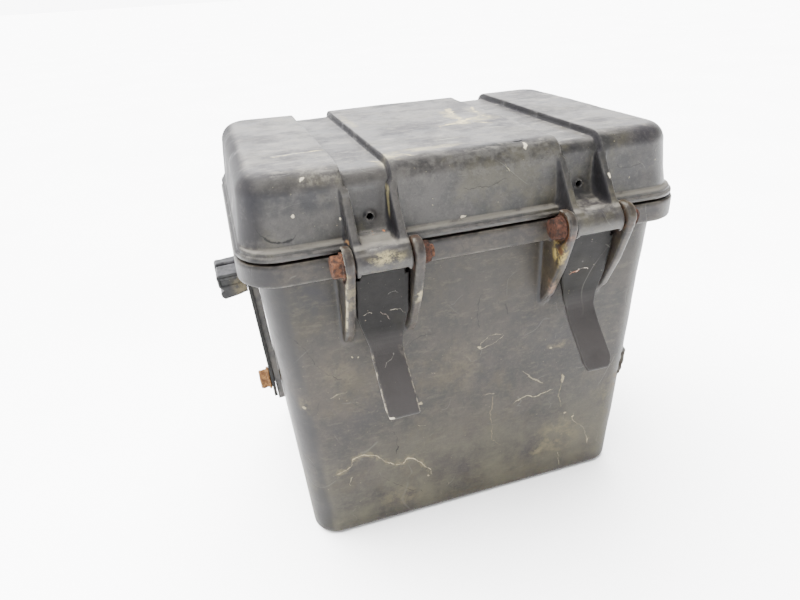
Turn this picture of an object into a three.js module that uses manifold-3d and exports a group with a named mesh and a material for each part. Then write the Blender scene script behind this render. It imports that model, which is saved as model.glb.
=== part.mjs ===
// Battery box: a moulded box with a lid that is hinged at the back and held shut by two latch levers
// at the front. An equipment plate with a relay block is bolted to its left wall.
// Millimetres, +Z up. +X is the right-hand side, -Y is the front, and the origin is the middle of
// the underside.
import * as THREE from 'three';
import { mergeVertices } from 'three/addons/utils/BufferGeometryUtils.js';
import Module from 'manifold-3d';

const wasm = await Module();
wasm.setup();

// ---- Driving dimensions ----

const GAP = 0.3; // between two pieces that touch

const BASE = { halfX: 128, halfY: 93, radius: 18, z: 0 };
const RIM = { halfX: 139, halfY: 97, radius: 20, z: 222 };
const BAND = { halfX: 150, halfY: 108, radius: 27, z: 236 };
const BOX_WALL = 3.2;
const BOX_FLOOR = 3.5;
const FOOT_ROUND = 6;
const BAND_SHELF = 3.5;

const LID = { top: 284, wall: 3, wallStart: 243, edgeRound: 13 };
const LID_FOOT = { halfX: 146, halfY: 101, radius: 23 };
const LID_BROW = { halfX: 143, halfY: 98, radius: 22 };
const FLANGE = { halfX: 149, halfY: 107, radius: 26, bottom: 237.3, chamfer: 1 };
const MOUTH = { halfX: RIM.halfX - BOX_WALL, halfY: RIM.halfY - BOX_WALL, radius: RIM.radius - BOX_WALL };
const CHANNEL = { halfWidth: 14, depth: 4.5 };
const GASKET = { inset: 1.4, width: 6, top: 239 };

const STATIONS = { left: -69, right: 70.5 }; // X of each latch and of the hinge behind it
const LATCH_PIN = { y: -116.5, z: 233.5 };
const HINGE_PIN = { y: 118, z: 240 };
const LOBE = { halfWidth: 17, radius: 9.2, cheek: 2.6, rib: 5.5 };
const KNUCKLE = { halfWidth: 17, radius: 9 };
const EAR = { gap: 17.75, thickness: 6, recess: 1.5, recessRadius: 9.6 };
const NOTCH_BACK = -105.4;

const M8 = { shank: 4, hole: 4.3, head: 5.6, flange: 8, flangeHeight: 1.6, nut: 6.5, acrossFlats: 13 };
const M6 = { shank: 3, hole: 3.3, head: 3.6, flange: 5.6, flangeHeight: 1.2, acrossFlats: 9 };
const SLEEVE = { outer: 5, bore: 5.3 };
const HUB = { radius: 6.9, slot: 7.5, halfWidth: 14 };
const LEVER = { thickness: 4, halfWidth: 16.5, tailHalfWidth: 10.5 };
const LEVER_LEVELS = { shoulder: 194, bend: 173, tip: 139.5 };
const EYELET = { radius: 1.8, z: 253, depth: 10 };

const PAD = { front: -64, back: -4, bottom: 117.5, top: 216, thickness: 4.4 };
const PLATE = { front: -66, back: -2, bottom: 121.5, top: 219, thickness: 2.2 };
const RELAY = { front: -63, back: -46, bottom: 201.5, top: 217.5, reach: 163.5 };
const TERMINAL_BAR = { front: -43.4, back: -31.5, bottom: 204, round: 3, overhang: 0.8 };
const RELAY_BOLT = { z: 210, depth: 12, grip: 10 };
const SIDE_BOLT = { y: -55, z: 130.5 };

const LEAD_HOLE = { x: 26, z: 198, radius: 10 };
const MAT = { thickness: 3, clearance: 2 };
const PILLOW = { halfX: 60, halfY: 40, thickness: 14 };
const ROUND_SIDES = 24;

// ---- Solids ----

function toManifold(geometry) {
  const bare = geometry.clone();
  bare.deleteAttribute('normal');
  bare.deleteAttribute('uv');
  const merged = mergeVertices(bare, 1e-4);
  const triangles = [];
  for (let i = 0; i < merged.index.count; i += 3) {
    const [a, b, c] = [merged.index.getX(i), merged.index.getX(i + 1), merged.index.getX(i + 2)];
    if (a !== b && b !== c && c !== a) {
      triangles.push(a, b, c);
    }
  }
  const vertProperties = new Float32Array(merged.attributes.position.array);
  const triVerts = new Uint32Array(triangles);
  return new wasm.Manifold(new wasm.Mesh({ numProp: 3, vertProperties, triVerts }));
}

function fromManifold(solid) {
  const { vertProperties, triVerts } = solid.getMesh();
  const geometry = new THREE.BufferGeometry();
  geometry.setAttribute('position', new THREE.BufferAttribute(new Float32Array(vertProperties), 3));
  geometry.setIndex(new THREE.BufferAttribute(new Uint32Array(triVerts), 1));
  geometry.computeVertexNormals();
  return geometry;
}

function joined(solids) {
  return solids.reduce((whole, solid) => whole.add(solid));
}

// The same outline, so much smaller on every side.
function inset(outline, amount) {
  return {
    ...outline,
    halfX: outline.halfX - amount,
    halfY: outline.halfY - amount,
    radius: Math.max(outline.radius - amount, 1),
  };
}

function outlinePoints({ halfX, halfY, radius }, cornerSteps = 6) {
  const points = [];
  for (const [quarter, [signX, signY]] of [[1, 1], [-1, 1], [-1, -1], [1, -1]].entries()) {
    const centre = new THREE.Vector2(signX * (halfX - radius), signY * (halfY - radius));
    for (let step = 0; step <= cornerSteps; step += 1) {
      const angle = (quarter + step / cornerSteps) * Math.PI / 2;
      points.push(new THREE.Vector2(Math.cos(angle), Math.sin(angle)).multiplyScalar(radius).add(centre));
    }
  }
  return points;
}

// A closed solid through rounded rectangles at rising heights.
function loft(levels) {
  const rings = levels.map((level) => outlinePoints(level));
  const count = rings[0].length;
  const positions = rings.flatMap((ring, i) => ring.flatMap((point) => [point.x, point.y, levels[i].z]));
  const indices = [];
  for (let ring = 0; ring + 1 < rings.length; ring += 1) {
    for (let side = 0; side < count; side += 1) {
      const a = ring * count + side;
      const b = ring * count + (side + 1) % count;
      indices.push(a, b, b + count, a, b + count, a + count);
    }
  }
  const top = (rings.length - 1) * count;
  for (let side = 1; side + 1 < count; side += 1) {
    indices.push(0, side + 1, side, top, top + side, top + side + 1);
  }
  const geometry = new THREE.BufferGeometry();
  geometry.setAttribute('position', new THREE.BufferAttribute(new Float32Array(positions), 3));
  geometry.setIndex(indices);
  return toManifold(geometry);
}

function slab(outline, bottom, top) {
  return loft([{ ...outline, z: bottom }, { ...outline, z: top }]);
}

function block([fromX, toX], [fromY, toY], [fromZ, toZ]) {
  const geometry = new THREE.BoxGeometry(toX - fromX, toY - fromY, toZ - fromZ);
  return toManifold(geometry.translate((fromX + toX) / 2, (fromY + toY) / 2, (fromZ + toZ) / 2));
}

// A side view, drawn in Y and Z, extruded along X.
function alongX(shape, fromX, toX) {
  const geometry = new THREE.ExtrudeGeometry(shape, {
    depth: toX - fromX,
    bevelEnabled: false,
    curveSegments: 8,
  });
  const axes = new THREE.Matrix4().makeBasis(
    new THREE.Vector3(0, 1, 0),
    new THREE.Vector3(0, 0, 1),
    new THREE.Vector3(1, 0, 0),
  );
  return toManifold(geometry.applyMatrix4(axes).translate(fromX, 0, 0));
}

function shapeOf(points) {
  return new THREE.Shape(points.map(([u, v]) => new THREE.Vector2(u, v)));
}

function rod(radius, fromX, toX, { y, z }, sides = ROUND_SIDES) {
  const geometry = new THREE.CylinderGeometry(radius, radius, toX - fromX, sides);
  return toManifold(geometry.rotateZ(Math.PI / 2).translate((fromX + toX) / 2, y, z));
}

function tube(outerRadius, innerRadius, fromX, toX, axis) {
  return rod(outerRadius, fromX, toX, axis).subtract(rod(innerRadius, fromX - 1, toX + 1, axis));
}

// ---- Materials ----

const moulding = (color, roughness) => new THREE.MeshStandardMaterial({ color, roughness, metalness: 0 });
const boxPlastic = () => moulding(0x6f6d68, 0.62);
const lidPlastic = () => moulding(0x7c797a, 0.6);
const leverPlastic = () => moulding(0x494644, 0.58);
const blackPlastic = () => moulding(0x3c3d42, 0.5);
const foam = () => moulding(0x1f1f1f, 0.95);
const rubber = () => moulding(0x232323, 0.85);
const rustySteel = () => new THREE.MeshStandardMaterial({ color: 0x8a4a2c, roughness: 0.85, metalness: 0.3 });
const darkSteel = () => new THREE.MeshStandardMaterial({ color: 0x3b3a35, roughness: 0.6, metalness: 0.7 });

const group = new THREE.Group();

function place(name, solid, material, parent = group) {
  const mesh = new THREE.Mesh(fromManifold(solid), material);
  mesh.name = name;
  parent.add(mesh);
}

// ---- Box ----

function boxOuter() {
  const levels = [];
  for (let step = 0; step <= 4; step += 1) {
    const angle = step / 4 * Math.PI / 2;
    const level = inset(BASE, FOOT_ROUND * (1 - Math.sin(angle)));
    levels.push({ ...level, z: FOOT_ROUND * (1 - Math.cos(angle)) });
  }
  levels.push(RIM, { ...RIM, z: BAND.z });
  return loft(levels);
}

function boxCavity() {
  const foot = { ...inset(BASE, BOX_WALL + 3), z: BOX_FLOOR };
  const bend = { ...inset(BASE, BOX_WALL), z: BOX_FLOOR + 3 };
  return loft([foot, bend, { ...MOUTH, z: RIM.z }, { ...MOUTH, z: BAND.z + 1 }]);
}

// The rim turns out and down again, so the band is hollow underneath.
function band() {
  const outside = slab(BAND, RIM.z, BAND.z);
  const hollow = slab(inset(BAND, BOX_WALL), RIM.z - 1, BAND.z - BAND_SHELF);
  return outside.subtract(hollow);
}

function latchEarShape() {
  const shape = new THREE.Shape();
  shape.moveTo(-94.5, 168);
  shape.lineTo(-106, 181);
  shape.lineTo(-118, 205);
  shape.lineTo(-127.6, 231.5);
  shape.absarc(-119.4, 236, 8.6, Math.PI * 1.17, Math.PI * 0.5, true);
  shape.lineTo(-113, 244);
  shape.lineTo(-109.4, 238.5);
  shape.lineTo(-107.5, 235);
  shape.lineTo(-94.5, 235);
  return shape;
}

function hingeEarShape() {
  const { y, z } = HINGE_PIN;
  const shape = new THREE.Shape();
  shape.moveTo(94.5, 172);
  shape.lineTo(94.5, 235);
  shape.lineTo(107.5, 235);
  shape.lineTo(y - KNUCKLE.radius, z - 1);
  shape.absarc(y, z, KNUCKLE.radius, Math.PI, -Math.PI * 0.12, true);
  shape.lineTo(106, 192);
  return shape;
}

// Two ears, each with a shallow round recess on its outer face for the bolt head or the nut.
function earPair(shape, stationX, pin) {
  const ears = [-1, 1].map((side) => {
    const inner = stationX + side * EAR.gap;
    const outer = inner + side * EAR.thickness;
    const ear = alongX(shape, Math.min(inner, outer), Math.max(inner, outer));
    const floor = outer - side * EAR.recess;
    const recess = rod(EAR.recessRadius, Math.min(floor, outer + side), Math.max(floor, outer + side), pin);
    return ear.subtract(recess);
  });
  return joined(ears);
}

function latchNotch(stationX) {
  const sides = [stationX - EAR.gap, stationX + EAR.gap];
  return block(sides, [-BAND.halfY - 1, NOTCH_BACK], [RIM.z - 1, BAND.z + 1]);
}

function latchNotchBacking(stationX) {
  const sides = [stationX - EAR.gap - 1, stationX + EAR.gap + 1];
  return block(sides, [NOTCH_BACK, -RIM.halfY + 1], [RIM.z + 2, BAND.z - 1]);
}

function leadHole(side) {
  const geometry = new THREE.CylinderGeometry(LEAD_HOLE.radius, LEAD_HOLE.radius, 30, ROUND_SIDES);
  return toManifold(geometry.translate(side * LEAD_HOLE.x, RIM.halfY, LEAD_HOLE.z));
}

// ---- Equipment plate: its own frame has Z up the left wall and -X straight out of it ----

const wallLean = Math.atan2(RIM.halfX - BASE.halfX, RIM.z);
const sideFrame = new THREE.Group();
sideFrame.position.set(-BASE.halfX, 0, 0);
sideFrame.rotation.y = -wallLean;
sideFrame.updateMatrixWorld();

const PLATE_FACE = -(PAD.thickness + PLATE.thickness + 2 * GAP);
const relayBoltSpots = {
  front: { y: (RELAY.front + RELAY.back) / 2, z: RELAY_BOLT.z },
  rear: { y: (TERMINAL_BAR.front + TERMINAL_BAR.back) / 2, z: RELAY_BOLT.z },
};

// The bolt holes through the wall, the pad and the plate, and blind into the relay block and the bar.
function sideHoles() {
  const small = Object.values(relayBoltSpots).map(
    (spot) => rod(M6.hole, PLATE_FACE - RELAY_BOLT.depth, 20, spot, 16),
  );
  return joined([rod(M8.hole, -20, 20, SIDE_BOLT, 16), ...small]);
}

function inBoxFrame(solid) {
  return toManifold(fromManifold(solid).applyMatrix4(sideFrame.matrixWorld));
}

function boxBody() {
  const stations = Object.values(STATIONS);
  const ears = stations.flatMap((x) => [
    earPair(latchEarShape(), x, LATCH_PIN),
    earPair(hingeEarShape(), x, HINGE_PIN),
  ]);
  const frontHoles = rod(M8.hole, -RIM.halfX, RIM.halfX, LATCH_PIN);
  const backHoles = rod(M8.hole, -RIM.halfX, RIM.halfX, HINGE_PIN);
  let body = joined([boxOuter(), band()]);
  for (const x of stations) {
    body = body.subtract(latchNotch(x)).add(latchNotchBacking(x));
  }
  body = joined([body, ...ears]).subtract(boxCavity()).subtract(frontHoles).subtract(backHoles);
  for (const side of [-1, 1]) {
    body = body.subtract(leadHole(side));
  }
  return body.subtract(inBoxFrame(sideHoles()));
}

place('box_body', boxBody(), boxPlastic());

// ---- Lid ----

// The domed part, with every wall so much further in.
function dome(amount) {
  const brow = inset(LID_BROW, amount);
  const edge = LID.edgeRound - Math.min(amount, 8);
  const roof = LID.top - amount;
  const levels = [{ ...inset(LID_FOOT, amount), z: LID.wallStart - 1 }];
  for (let step = 0; step <= 4; step += 1) {
    const angle = step / 4 * Math.PI / 2;
    levels.push({ ...inset(brow, edge * (1 - Math.cos(angle))), z: roof - edge * (1 - Math.sin(angle)) });
  }
  return loft(levels);
}

// The dome with its two channels sunk in from front to back.
function channelledDome(amount) {
  const halfWidth = CHANNEL.halfWidth + amount;
  const channels = joined(Object.values(STATIONS).map(
    (x) => block(
      [x - halfWidth, x + halfWidth],
      [-BAND.halfY, BAND.halfY],
      [LID.wallStart - 2, LID.top + 1],
    ),
  ));
  return dome(amount).subtract(channels).add(dome(amount + CHANNEL.depth));
}

function lidFlange() {
  const shoulder = LID.wallStart - FLANGE.chamfer;
  return loft([
    { ...FLANGE, z: FLANGE.bottom },
    { ...FLANGE, z: shoulder },
    { ...inset(FLANGE, FLANGE.chamfer), z: LID.wallStart },
  ]);
}

function gasketRing(slack, bottom, top) {
  const outer = inset(MOUTH, -GASKET.inset - GASKET.width - slack);
  const inner = inset(MOUTH, -GASKET.inset + slack);
  return slab(outer, bottom, top).subtract(slab(inner, bottom - 1, top + 1));
}

// A side view of the moulding that carries a lobe or a knuckle: `out` is -1 at the front and 1 at the back.
function webShape(out, pin) {
  const crest = pin.z + KNUCKLE.radius;
  const sweep = [[95, 8], [97.2, 7], [99.5, 4], [103, 2], [108, 0.6]];
  return shapeOf([
    [out * 95, FLANGE.bottom],
    ...sweep.map(([y, rise]) => [out * y, crest + rise]),
    [pin.y, crest - 0.2],
    [pin.y, FLANGE.bottom],
  ]);
}

function ribShape(out, pin) {
  return shapeOf([
    [out * 95, FLANGE.bottom],
    [out * 95, 276],
    [out * 98.3, 276],
    [pin.y + out * 2, pin.z + KNUCKLE.radius - 0.4],
    [pin.y + out * 2, FLANGE.bottom],
  ]);
}

function armWithRibs(stationX, out, pin, halfWidth) {
  const ribs = [-1, 1].map((side) => {
    const edge = stationX + side * halfWidth;
    const inner = edge - side * LOBE.rib;
    return alongX(ribShape(out, pin), Math.min(edge, inner), Math.max(edge, inner));
  });
  return joined([alongX(webShape(out, pin), stationX - halfWidth, stationX + halfWidth), ...ribs]);
}

// Room for a round piece that leaves downwards.
function slotBelow(stationX, halfWidth, radius, pin) {
  const across = [stationX - halfWidth, stationX + halfWidth];
  const shaft = block(across, [pin.y - radius, pin.y + radius], [pin.z - 20, pin.z]);
  return rod(radius, ...across, pin).add(shaft);
}

function latchLobe(stationX) {
  const span = [stationX - LOBE.halfWidth, stationX + LOBE.halfWidth];
  const arm = armWithRibs(stationX, -1, LATCH_PIN, LOBE.halfWidth);
  const lobe = rod(LOBE.radius, ...span, LATCH_PIN).add(arm);
  const hubRoom = slotBelow(stationX, LOBE.halfWidth - LOBE.cheek, HUB.slot, LATCH_PIN);
  const sleeveRoom = slotBelow(stationX, LOBE.halfWidth + 1, SLEEVE.bore + 0.9, LATCH_PIN);
  return lobe.subtract(hubRoom).subtract(sleeveRoom);
}

function hingeKnuckle(stationX) {
  const span = [stationX - KNUCKLE.halfWidth, stationX + KNUCKLE.halfWidth];
  const arm = armWithRibs(stationX, 1, HINGE_PIN, KNUCKLE.halfWidth);
  const knuckle = rod(KNUCKLE.radius, ...span, HINGE_PIN).add(arm);
  return knuckle.subtract(rod(SLEEVE.bore, span[0] - 1, span[1] + 1, HINGE_PIN));
}

function eyelet(stationX) {
  const geometry = new THREE.CylinderGeometry(EYELET.radius, EYELET.radius, EYELET.depth, 12);
  return toManifold(geometry.translate(stationX, CHANNEL.depth - LID_FOOT.halfY, EYELET.z));
}

function lidShell() {
  const stations = Object.values(STATIONS);
  const outside = joined([
    channelledDome(0),
    lidFlange(),
    ...stations.map(latchLobe),
    ...stations.map(hingeKnuckle),
  ]);
  const mouth = slab(MOUTH, FLANGE.bottom - 1, LID.wallStart + 0.5);
  const groove = gasketRing(GAP, FLANGE.bottom - 1, GASKET.top + GAP);
  let lid = outside.subtract(channelledDome(LID.wall)).subtract(mouth).subtract(groove);
  for (const x of stations) {
    lid = lid.subtract(eyelet(x));
  }
  return lid;
}

place('lid_shell', lidShell(), lidPlastic());
place('lid_gasket', gasketRing(0, BAND.z + GAP, GASKET.top), foam());

function pillow() {
  const top = LID.top - CHANNEL.depth - LID.wall - GAP;
  const foot = { halfX: PILLOW.halfX, halfY: PILLOW.halfY, radius: 14 };
  return loft([
    { ...inset(foot, 3), z: top - PILLOW.thickness },
    { ...foot, z: top - PILLOW.thickness + 3 },
    { ...foot, z: top },
  ]);
}

place('hold_down_pad', pillow(), foam());

// ---- Latch levers ----

function leverSideView() {
  const half = LEVER.thickness / 2;
  const bend = { y: -107.6, z: LEVER_LEVELS.bend };
  const tip = { y: -141.4, z: LEVER_LEVELS.tip };
  return shapeOf([
    [LATCH_PIN.y - half, LATCH_PIN.z - 3],
    [-110.8 - half, 200],
    [bend.y - half, bend.z + 1],
    [tip.y - 1.2, tip.z + 1.6],
    [tip.y + 1.6, tip.z - 1.2],
    [bend.y + half, bend.z - 3.4],
    [-110.8 + half, 200],
    [LATCH_PIN.y + half, LATCH_PIN.z - 3],
  ].reverse());
}

// The front view, drawn in X and Z: a neck inside the lobe, a wide grip and a narrow tail.
function leverFrontView(stationX) {
  const neckZ = LATCH_PIN.z - 11;
  const rightSide = [
    [LEVER.tailHalfWidth - 2.5, LEVER_LEVELS.tip - 4],
    [LEVER.tailHalfWidth, LEVER_LEVELS.tip + 3],
    [LEVER.tailHalfWidth, LEVER_LEVELS.bend],
    [LEVER.halfWidth, LEVER_LEVELS.shoulder],
    [LEVER.halfWidth, neckZ],
    [HUB.halfWidth, neckZ],
    [HUB.halfWidth, LATCH_PIN.z + 1],
  ];
  const leftSide = rightSide.map(([x, z]) => [-x, z]).reverse();
  const outline = shapeOf([...rightSide, ...leftSide]);
  const geometry = new THREE.ExtrudeGeometry(outline, { depth: 80, bevelEnabled: false });
  return toManifold(geometry.rotateX(Math.PI / 2).translate(stationX, -80, 0));
}

function latchLever(stationX) {
  const strap = alongX(leverSideView(), stationX - 20, stationX + 20).intersect(leverFrontView(stationX));
  const span = [stationX - HUB.halfWidth, stationX + HUB.halfWidth];
  const bore = rod(SLEEVE.bore, span[0] - 1, span[1] + 1, LATCH_PIN);
  return strap.add(rod(HUB.radius, ...span, LATCH_PIN)).subtract(bore);
}

// ---- Bolts, nuts and sleeves ----

// A hexagonal head with its flange; the shank runs towards +X from the bearing face at fromX.
function flangeBolt(size, fromX, length, axis) {
  const hexRadius = size.acrossFlats / Math.sqrt(3);
  return joined([
    rod(size.flange, fromX - size.flangeHeight, fromX, axis),
    rod(hexRadius, fromX - size.flangeHeight - size.head, fromX - size.flangeHeight + 0.1, axis, 6),
    rod(size.shank, fromX - 0.1, fromX + length, axis, 16),
  ]);
}

function hexNut(size, fromX, axis) {
  const hexRadius = size.acrossFlats / Math.sqrt(3);
  const blank = rod(size.flange, fromX, fromX + size.flangeHeight, axis)
    .add(rod(hexRadius, fromX + size.flangeHeight - 0.1, fromX + size.nut, axis, 6));
  return blank.subtract(rod(size.hole, fromX - 1, fromX + size.nut + 1, axis, 16));
}

function pinSet(kind, side, stationX, pin) {
  const seat = EAR.gap + EAR.thickness - EAR.recess + GAP;
  const length = 2 * seat + M8.nut + 2.5;
  place(`${kind}_bolt_${side}`, flangeBolt(M8, stationX - seat, length, pin), rustySteel());
  place(`${kind}_nut_${side}`, hexNut(M8, stationX + seat, pin), rustySteel());
  const reach = EAR.gap - GAP;
  const sleeve = tube(SLEEVE.outer, M8.hole, stationX - reach, stationX + reach, pin);
  place(`${kind}_sleeve_${side}`, sleeve, rustySteel());
}

for (const [side, x] of Object.entries(STATIONS)) {
  place(`latch_lever_${side}`, latchLever(x), leverPlastic());
  pinSet('latch', side, x, LATCH_PIN);
  pinSet('hinge', side, x, HINGE_PIN);
}

// ---- Equipment plate ----

group.add(sideFrame);

function sheetOnWall({ front, back, bottom, top, thickness }, inner) {
  return block([-inner - thickness, -inner], [front, back], [bottom, top]).subtract(sideHoles());
}

// The relay block stands out past the band, so its outer face is worked out in the wall's frame.
const relayOuter = (RELAY.reach - BASE.halfX) * Math.cos(wallLean) - RELAY.top * Math.sin(wallLean);
const relayInner = -PLATE_FACE;

function relaySideView() {
  const bevel = 1.4;
  const notch = { z: RELAY.bottom + 6.4, depth: 2.4, half: 2 };
  return [
    [-relayInner, RELAY.bottom + 2.5],
    [-relayInner, RELAY.top],
    [-relayOuter + bevel, RELAY.top],
    [-relayOuter, RELAY.top - bevel],
    [-relayOuter, notch.z + notch.half],
    [-relayOuter + notch.depth, notch.z],
    [-relayOuter, notch.z - notch.half],
    [-relayOuter, RELAY.bottom + 2],
    [-relayOuter + 2, RELAY.bottom],
  ];
}

function relayBlock() {
  const shape = shapeOf(relaySideView().reverse());
  const depth = RELAY.back - RELAY.front;
  const geometry = new THREE.ExtrudeGeometry(shape, { depth, bevelEnabled: false });
  const body = toManifold(geometry.rotateX(Math.PI / 2).translate(0, RELAY.back, 0));
  return body.subtract(sideHoles());
}

// The bar behind the block has a rounded top and a smaller, rounded end.
function terminalBarProfile(amount) {
  const { front, back, bottom, round } = TERMINAL_BAR;
  const shape = new THREE.Shape();
  shape.moveTo(front + amount, bottom + amount);
  shape.lineTo(back - amount, bottom + amount);
  shape.absarc(back - round, RELAY.top - round, round - amount, 0, Math.PI / 2, false);
  shape.absarc(front + round, RELAY.top - round, round - amount, Math.PI / 2, Math.PI, false);
  return shape;
}

function terminalBar() {
  const end = -relayOuter - TERMINAL_BAR.overhang;
  const body = alongX(terminalBarProfile(0), end + 1.5, -relayInner);
  const tip = alongX(terminalBarProfile(1), end, end + 3);
  return body.add(tip).subtract(sideHoles());
}

place('side_pad', sheetOnWall({ ...PAD, thickness: PAD.thickness - GAP }, GAP), boxPlastic(), sideFrame);
place('side_plate', sheetOnWall(PLATE, PAD.thickness + GAP), darkSteel(), sideFrame);
place('relay_block', relayBlock(), blackPlastic(), sideFrame);
place('terminal_bar', terminalBar(), blackPlastic(), sideFrame);

const nutSeat = BOX_WALL + 2 * GAP;
const sideBoltLength = nutSeat - PLATE_FACE + M8.nut + 2;
place('side_bolt', flangeBolt(M8, PLATE_FACE, sideBoltLength, SIDE_BOLT), rustySteel(), sideFrame);
place('side_nut', hexNut(M8, nutSeat, SIDE_BOLT), darkSteel(), sideFrame);
for (const [end, spot] of Object.entries(relayBoltSpots)) {
  const length = nutSeat - PLATE_FACE + RELAY_BOLT.grip;
  const bolt = flangeBolt(M6, -nutSeat, length, spot).mirror([1, 0, 0]);
  place(`relay_bolt_${end}`, bolt, darkSteel(), sideFrame);
}

// ---- Inside and back ----

function floorMat() {
  const foot = { ...inset(BASE, BOX_WALL + 3 + MAT.clearance), z: BOX_FLOOR + GAP };
  return loft([foot, { ...foot, z: BOX_FLOOR + GAP + MAT.thickness }]);
}

// A rubber grommet with a flange on each face of the wall and a hole for a battery lead.
function leadGrommet(side) {
  const wallY = BASE.halfY + (RIM.halfY - BASE.halfY) * LEAD_HOLE.z / RIM.z;
  const waist = LEAD_HOLE.radius - GAP;
  const [near, far] = [-BOX_WALL - GAP * 2, GAP * 2];
  const profile = [
    [6, near - 2.5],
    [12, near - 2.5],
    [13, near - 1],
    [13, near],
    [waist, near],
    [waist, far],
    [13, far],
    [13, far + 1.5],
    [9, far + 7],
    [6, far + 7],
    [6, near - 2.5],
  ];
  const geometry = new THREE.LatheGeometry(profile.map(([r, y]) => new THREE.Vector2(r, y)), ROUND_SIDES);
  return toManifold(geometry.translate(side * LEAD_HOLE.x, wallY, LEAD_HOLE.z));
}

place('floor_mat', floorMat(), rubber());
for (const [side, sign] of [['left', -1], ['right', 1]]) {
  place(`lead_grommet_${side}`, leadGrommet(sign), rubber());
}

export default group;
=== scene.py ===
"""Battery box: worn moulded plastic, rusted hardware and dirt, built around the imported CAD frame.

Moulded pieces are modelled as distance fields in millimetres, so that ribs, ears and lobes run into the walls
with real fillets, and each field is then meshed with a surface net. Blender objects are in metres.
"""

from itertools import product

import bpy
import numpy as np
from mathutils import Matrix, Vector


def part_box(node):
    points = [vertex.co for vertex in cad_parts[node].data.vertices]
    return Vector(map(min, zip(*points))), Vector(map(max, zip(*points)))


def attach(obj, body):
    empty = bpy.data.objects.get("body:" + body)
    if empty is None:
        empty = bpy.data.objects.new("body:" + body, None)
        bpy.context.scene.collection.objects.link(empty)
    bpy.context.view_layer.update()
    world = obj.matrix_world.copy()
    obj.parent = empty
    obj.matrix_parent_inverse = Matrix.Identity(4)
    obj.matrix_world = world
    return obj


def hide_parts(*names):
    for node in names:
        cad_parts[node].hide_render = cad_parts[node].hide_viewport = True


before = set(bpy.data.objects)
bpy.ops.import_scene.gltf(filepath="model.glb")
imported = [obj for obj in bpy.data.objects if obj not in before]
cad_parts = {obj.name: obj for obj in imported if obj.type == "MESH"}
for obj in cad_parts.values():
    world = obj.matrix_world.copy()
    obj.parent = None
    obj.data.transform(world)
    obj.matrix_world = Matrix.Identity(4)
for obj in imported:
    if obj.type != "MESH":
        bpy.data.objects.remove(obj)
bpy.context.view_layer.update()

MM = 0.001
FINE = 0.85  # sample spacing on the lid, mm
RIM_STEP = 1.15  # around the rim and ears of the box
DETAIL = 0.45  # on levers and blocks
SMALL = 0.28  # on bolts and nuts
SIDES = ("left", "right")


# ---- Places from the frame, in millimetres ----

def node_box(name):
    low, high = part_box(name)
    return np.array(low) / MM, np.array(high) / MM


def node_middle(name):
    low, high = node_box(name)
    return (low + high) / 2


STATION_X = {side: node_middle(f"latch_sleeve_{side}")[0] for side in SIDES}
LATCH_PIN = node_middle("latch_sleeve_left")[1:]
HINGE_PIN = node_middle("hinge_sleeve_left")[1:]

box_high = node_box("box_body")[1]
lid_low, lid_high = node_box("lid_shell")
gasket_low = node_box("lid_gasket")[0]
lever_low, lever_high = node_box("latch_lever_left")

BAND_HALF = (box_high[0], 108.0)
BAND_TOP = gasket_low[2] - 0.3
BAND_BOTTOM = BAND_TOP - 14
RIM_HALF = (BAND_HALF[0] - 11, BAND_HALF[1] - 11)
BASE_HALF = (RIM_HALF[0] - 11, RIM_HALF[1] - 4)
WALL = 3.2
FLOOR = 3.5

LID_TOP = lid_high[2]
FLANGE_HALF = (lid_high[0], BAND_HALF[1] - 1)
FLANGE_BOTTOM = BAND_TOP + 1.3
FLANGE_TOP = FLANGE_BOTTOM + 5.7
LID_FOOT = (BAND_HALF[0] - 4, BAND_HALF[1] - 7)
LID_DRAFT = 3.0
LID_EDGE = 13.0
CHANNEL_HALF = 14.0
CHANNEL_DEPTH = 4.5
LOBE_HALF = 17.0
RIB_THICK = 5.5
LOBE_RADIUS = 9.2
KNUCKLE_RADIUS = 9.0
EAR_INNER = 17.75
EAR_THICK = 6.0
EAR_RECESS = 9.6
BOLT_HOLE = 4.3
SLEEVE_BORE = 5.3
LEAD_HOLE = 10.0
SHANK = 4.0
HEAD_HEIGHT = 7.2
NUT_HEIGHT = 6.5


# ---- Distance fields: negative inside the material ----

def join(a, b, fillet=0.0):
    if not fillet:
        return np.minimum(a, b)
    near = np.hypot(np.maximum(fillet - a, 0), np.maximum(fillet - b, 0))
    return np.maximum(fillet, np.minimum(a, b)) - near


def meet(a, b, rounding=0.0):
    return -join(-a, -b, rounding)


def cut(a, b, rounding=0.0):
    return -join(-a, b, rounding)


def between(value, low, high):
    return np.abs(value - (low + high) / 2) - abs(high - low) / 2


def rounded_rectangle(x, y, half, radius):
    u = np.abs(x) - (half[0] - radius)
    v = np.abs(y) - (half[1] - radius)
    corner = np.hypot(np.maximum(u, 0), np.maximum(v, 0))
    return corner + np.minimum(np.maximum(u, v), 0) - radius


def arc(centre, radius, start, end, steps=8):
    angles = np.radians(np.linspace(start, end, steps + 1))
    return [(centre[0] + radius * np.cos(a), centre[1] + radius * np.sin(a)) for a in angles]


def along_path(u, v, points):
    """Distance to a chain of straight lines."""
    nearest = np.full(np.broadcast(u, v).shape, 1e9, np.float32)
    for (u0, v0), (u1, v1) in zip(points, points[1:]):
        du, dv = u1 - u0, v1 - v0
        along = np.clip(((u - u0) * du + (v - v0) * dv) / (du ** 2 + dv ** 2), 0, 1)
        nearest = np.minimum(nearest, (u - u0 - along * du) ** 2 + (v - v0 - along * dv) ** 2)
    return np.sqrt(nearest)


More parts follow.
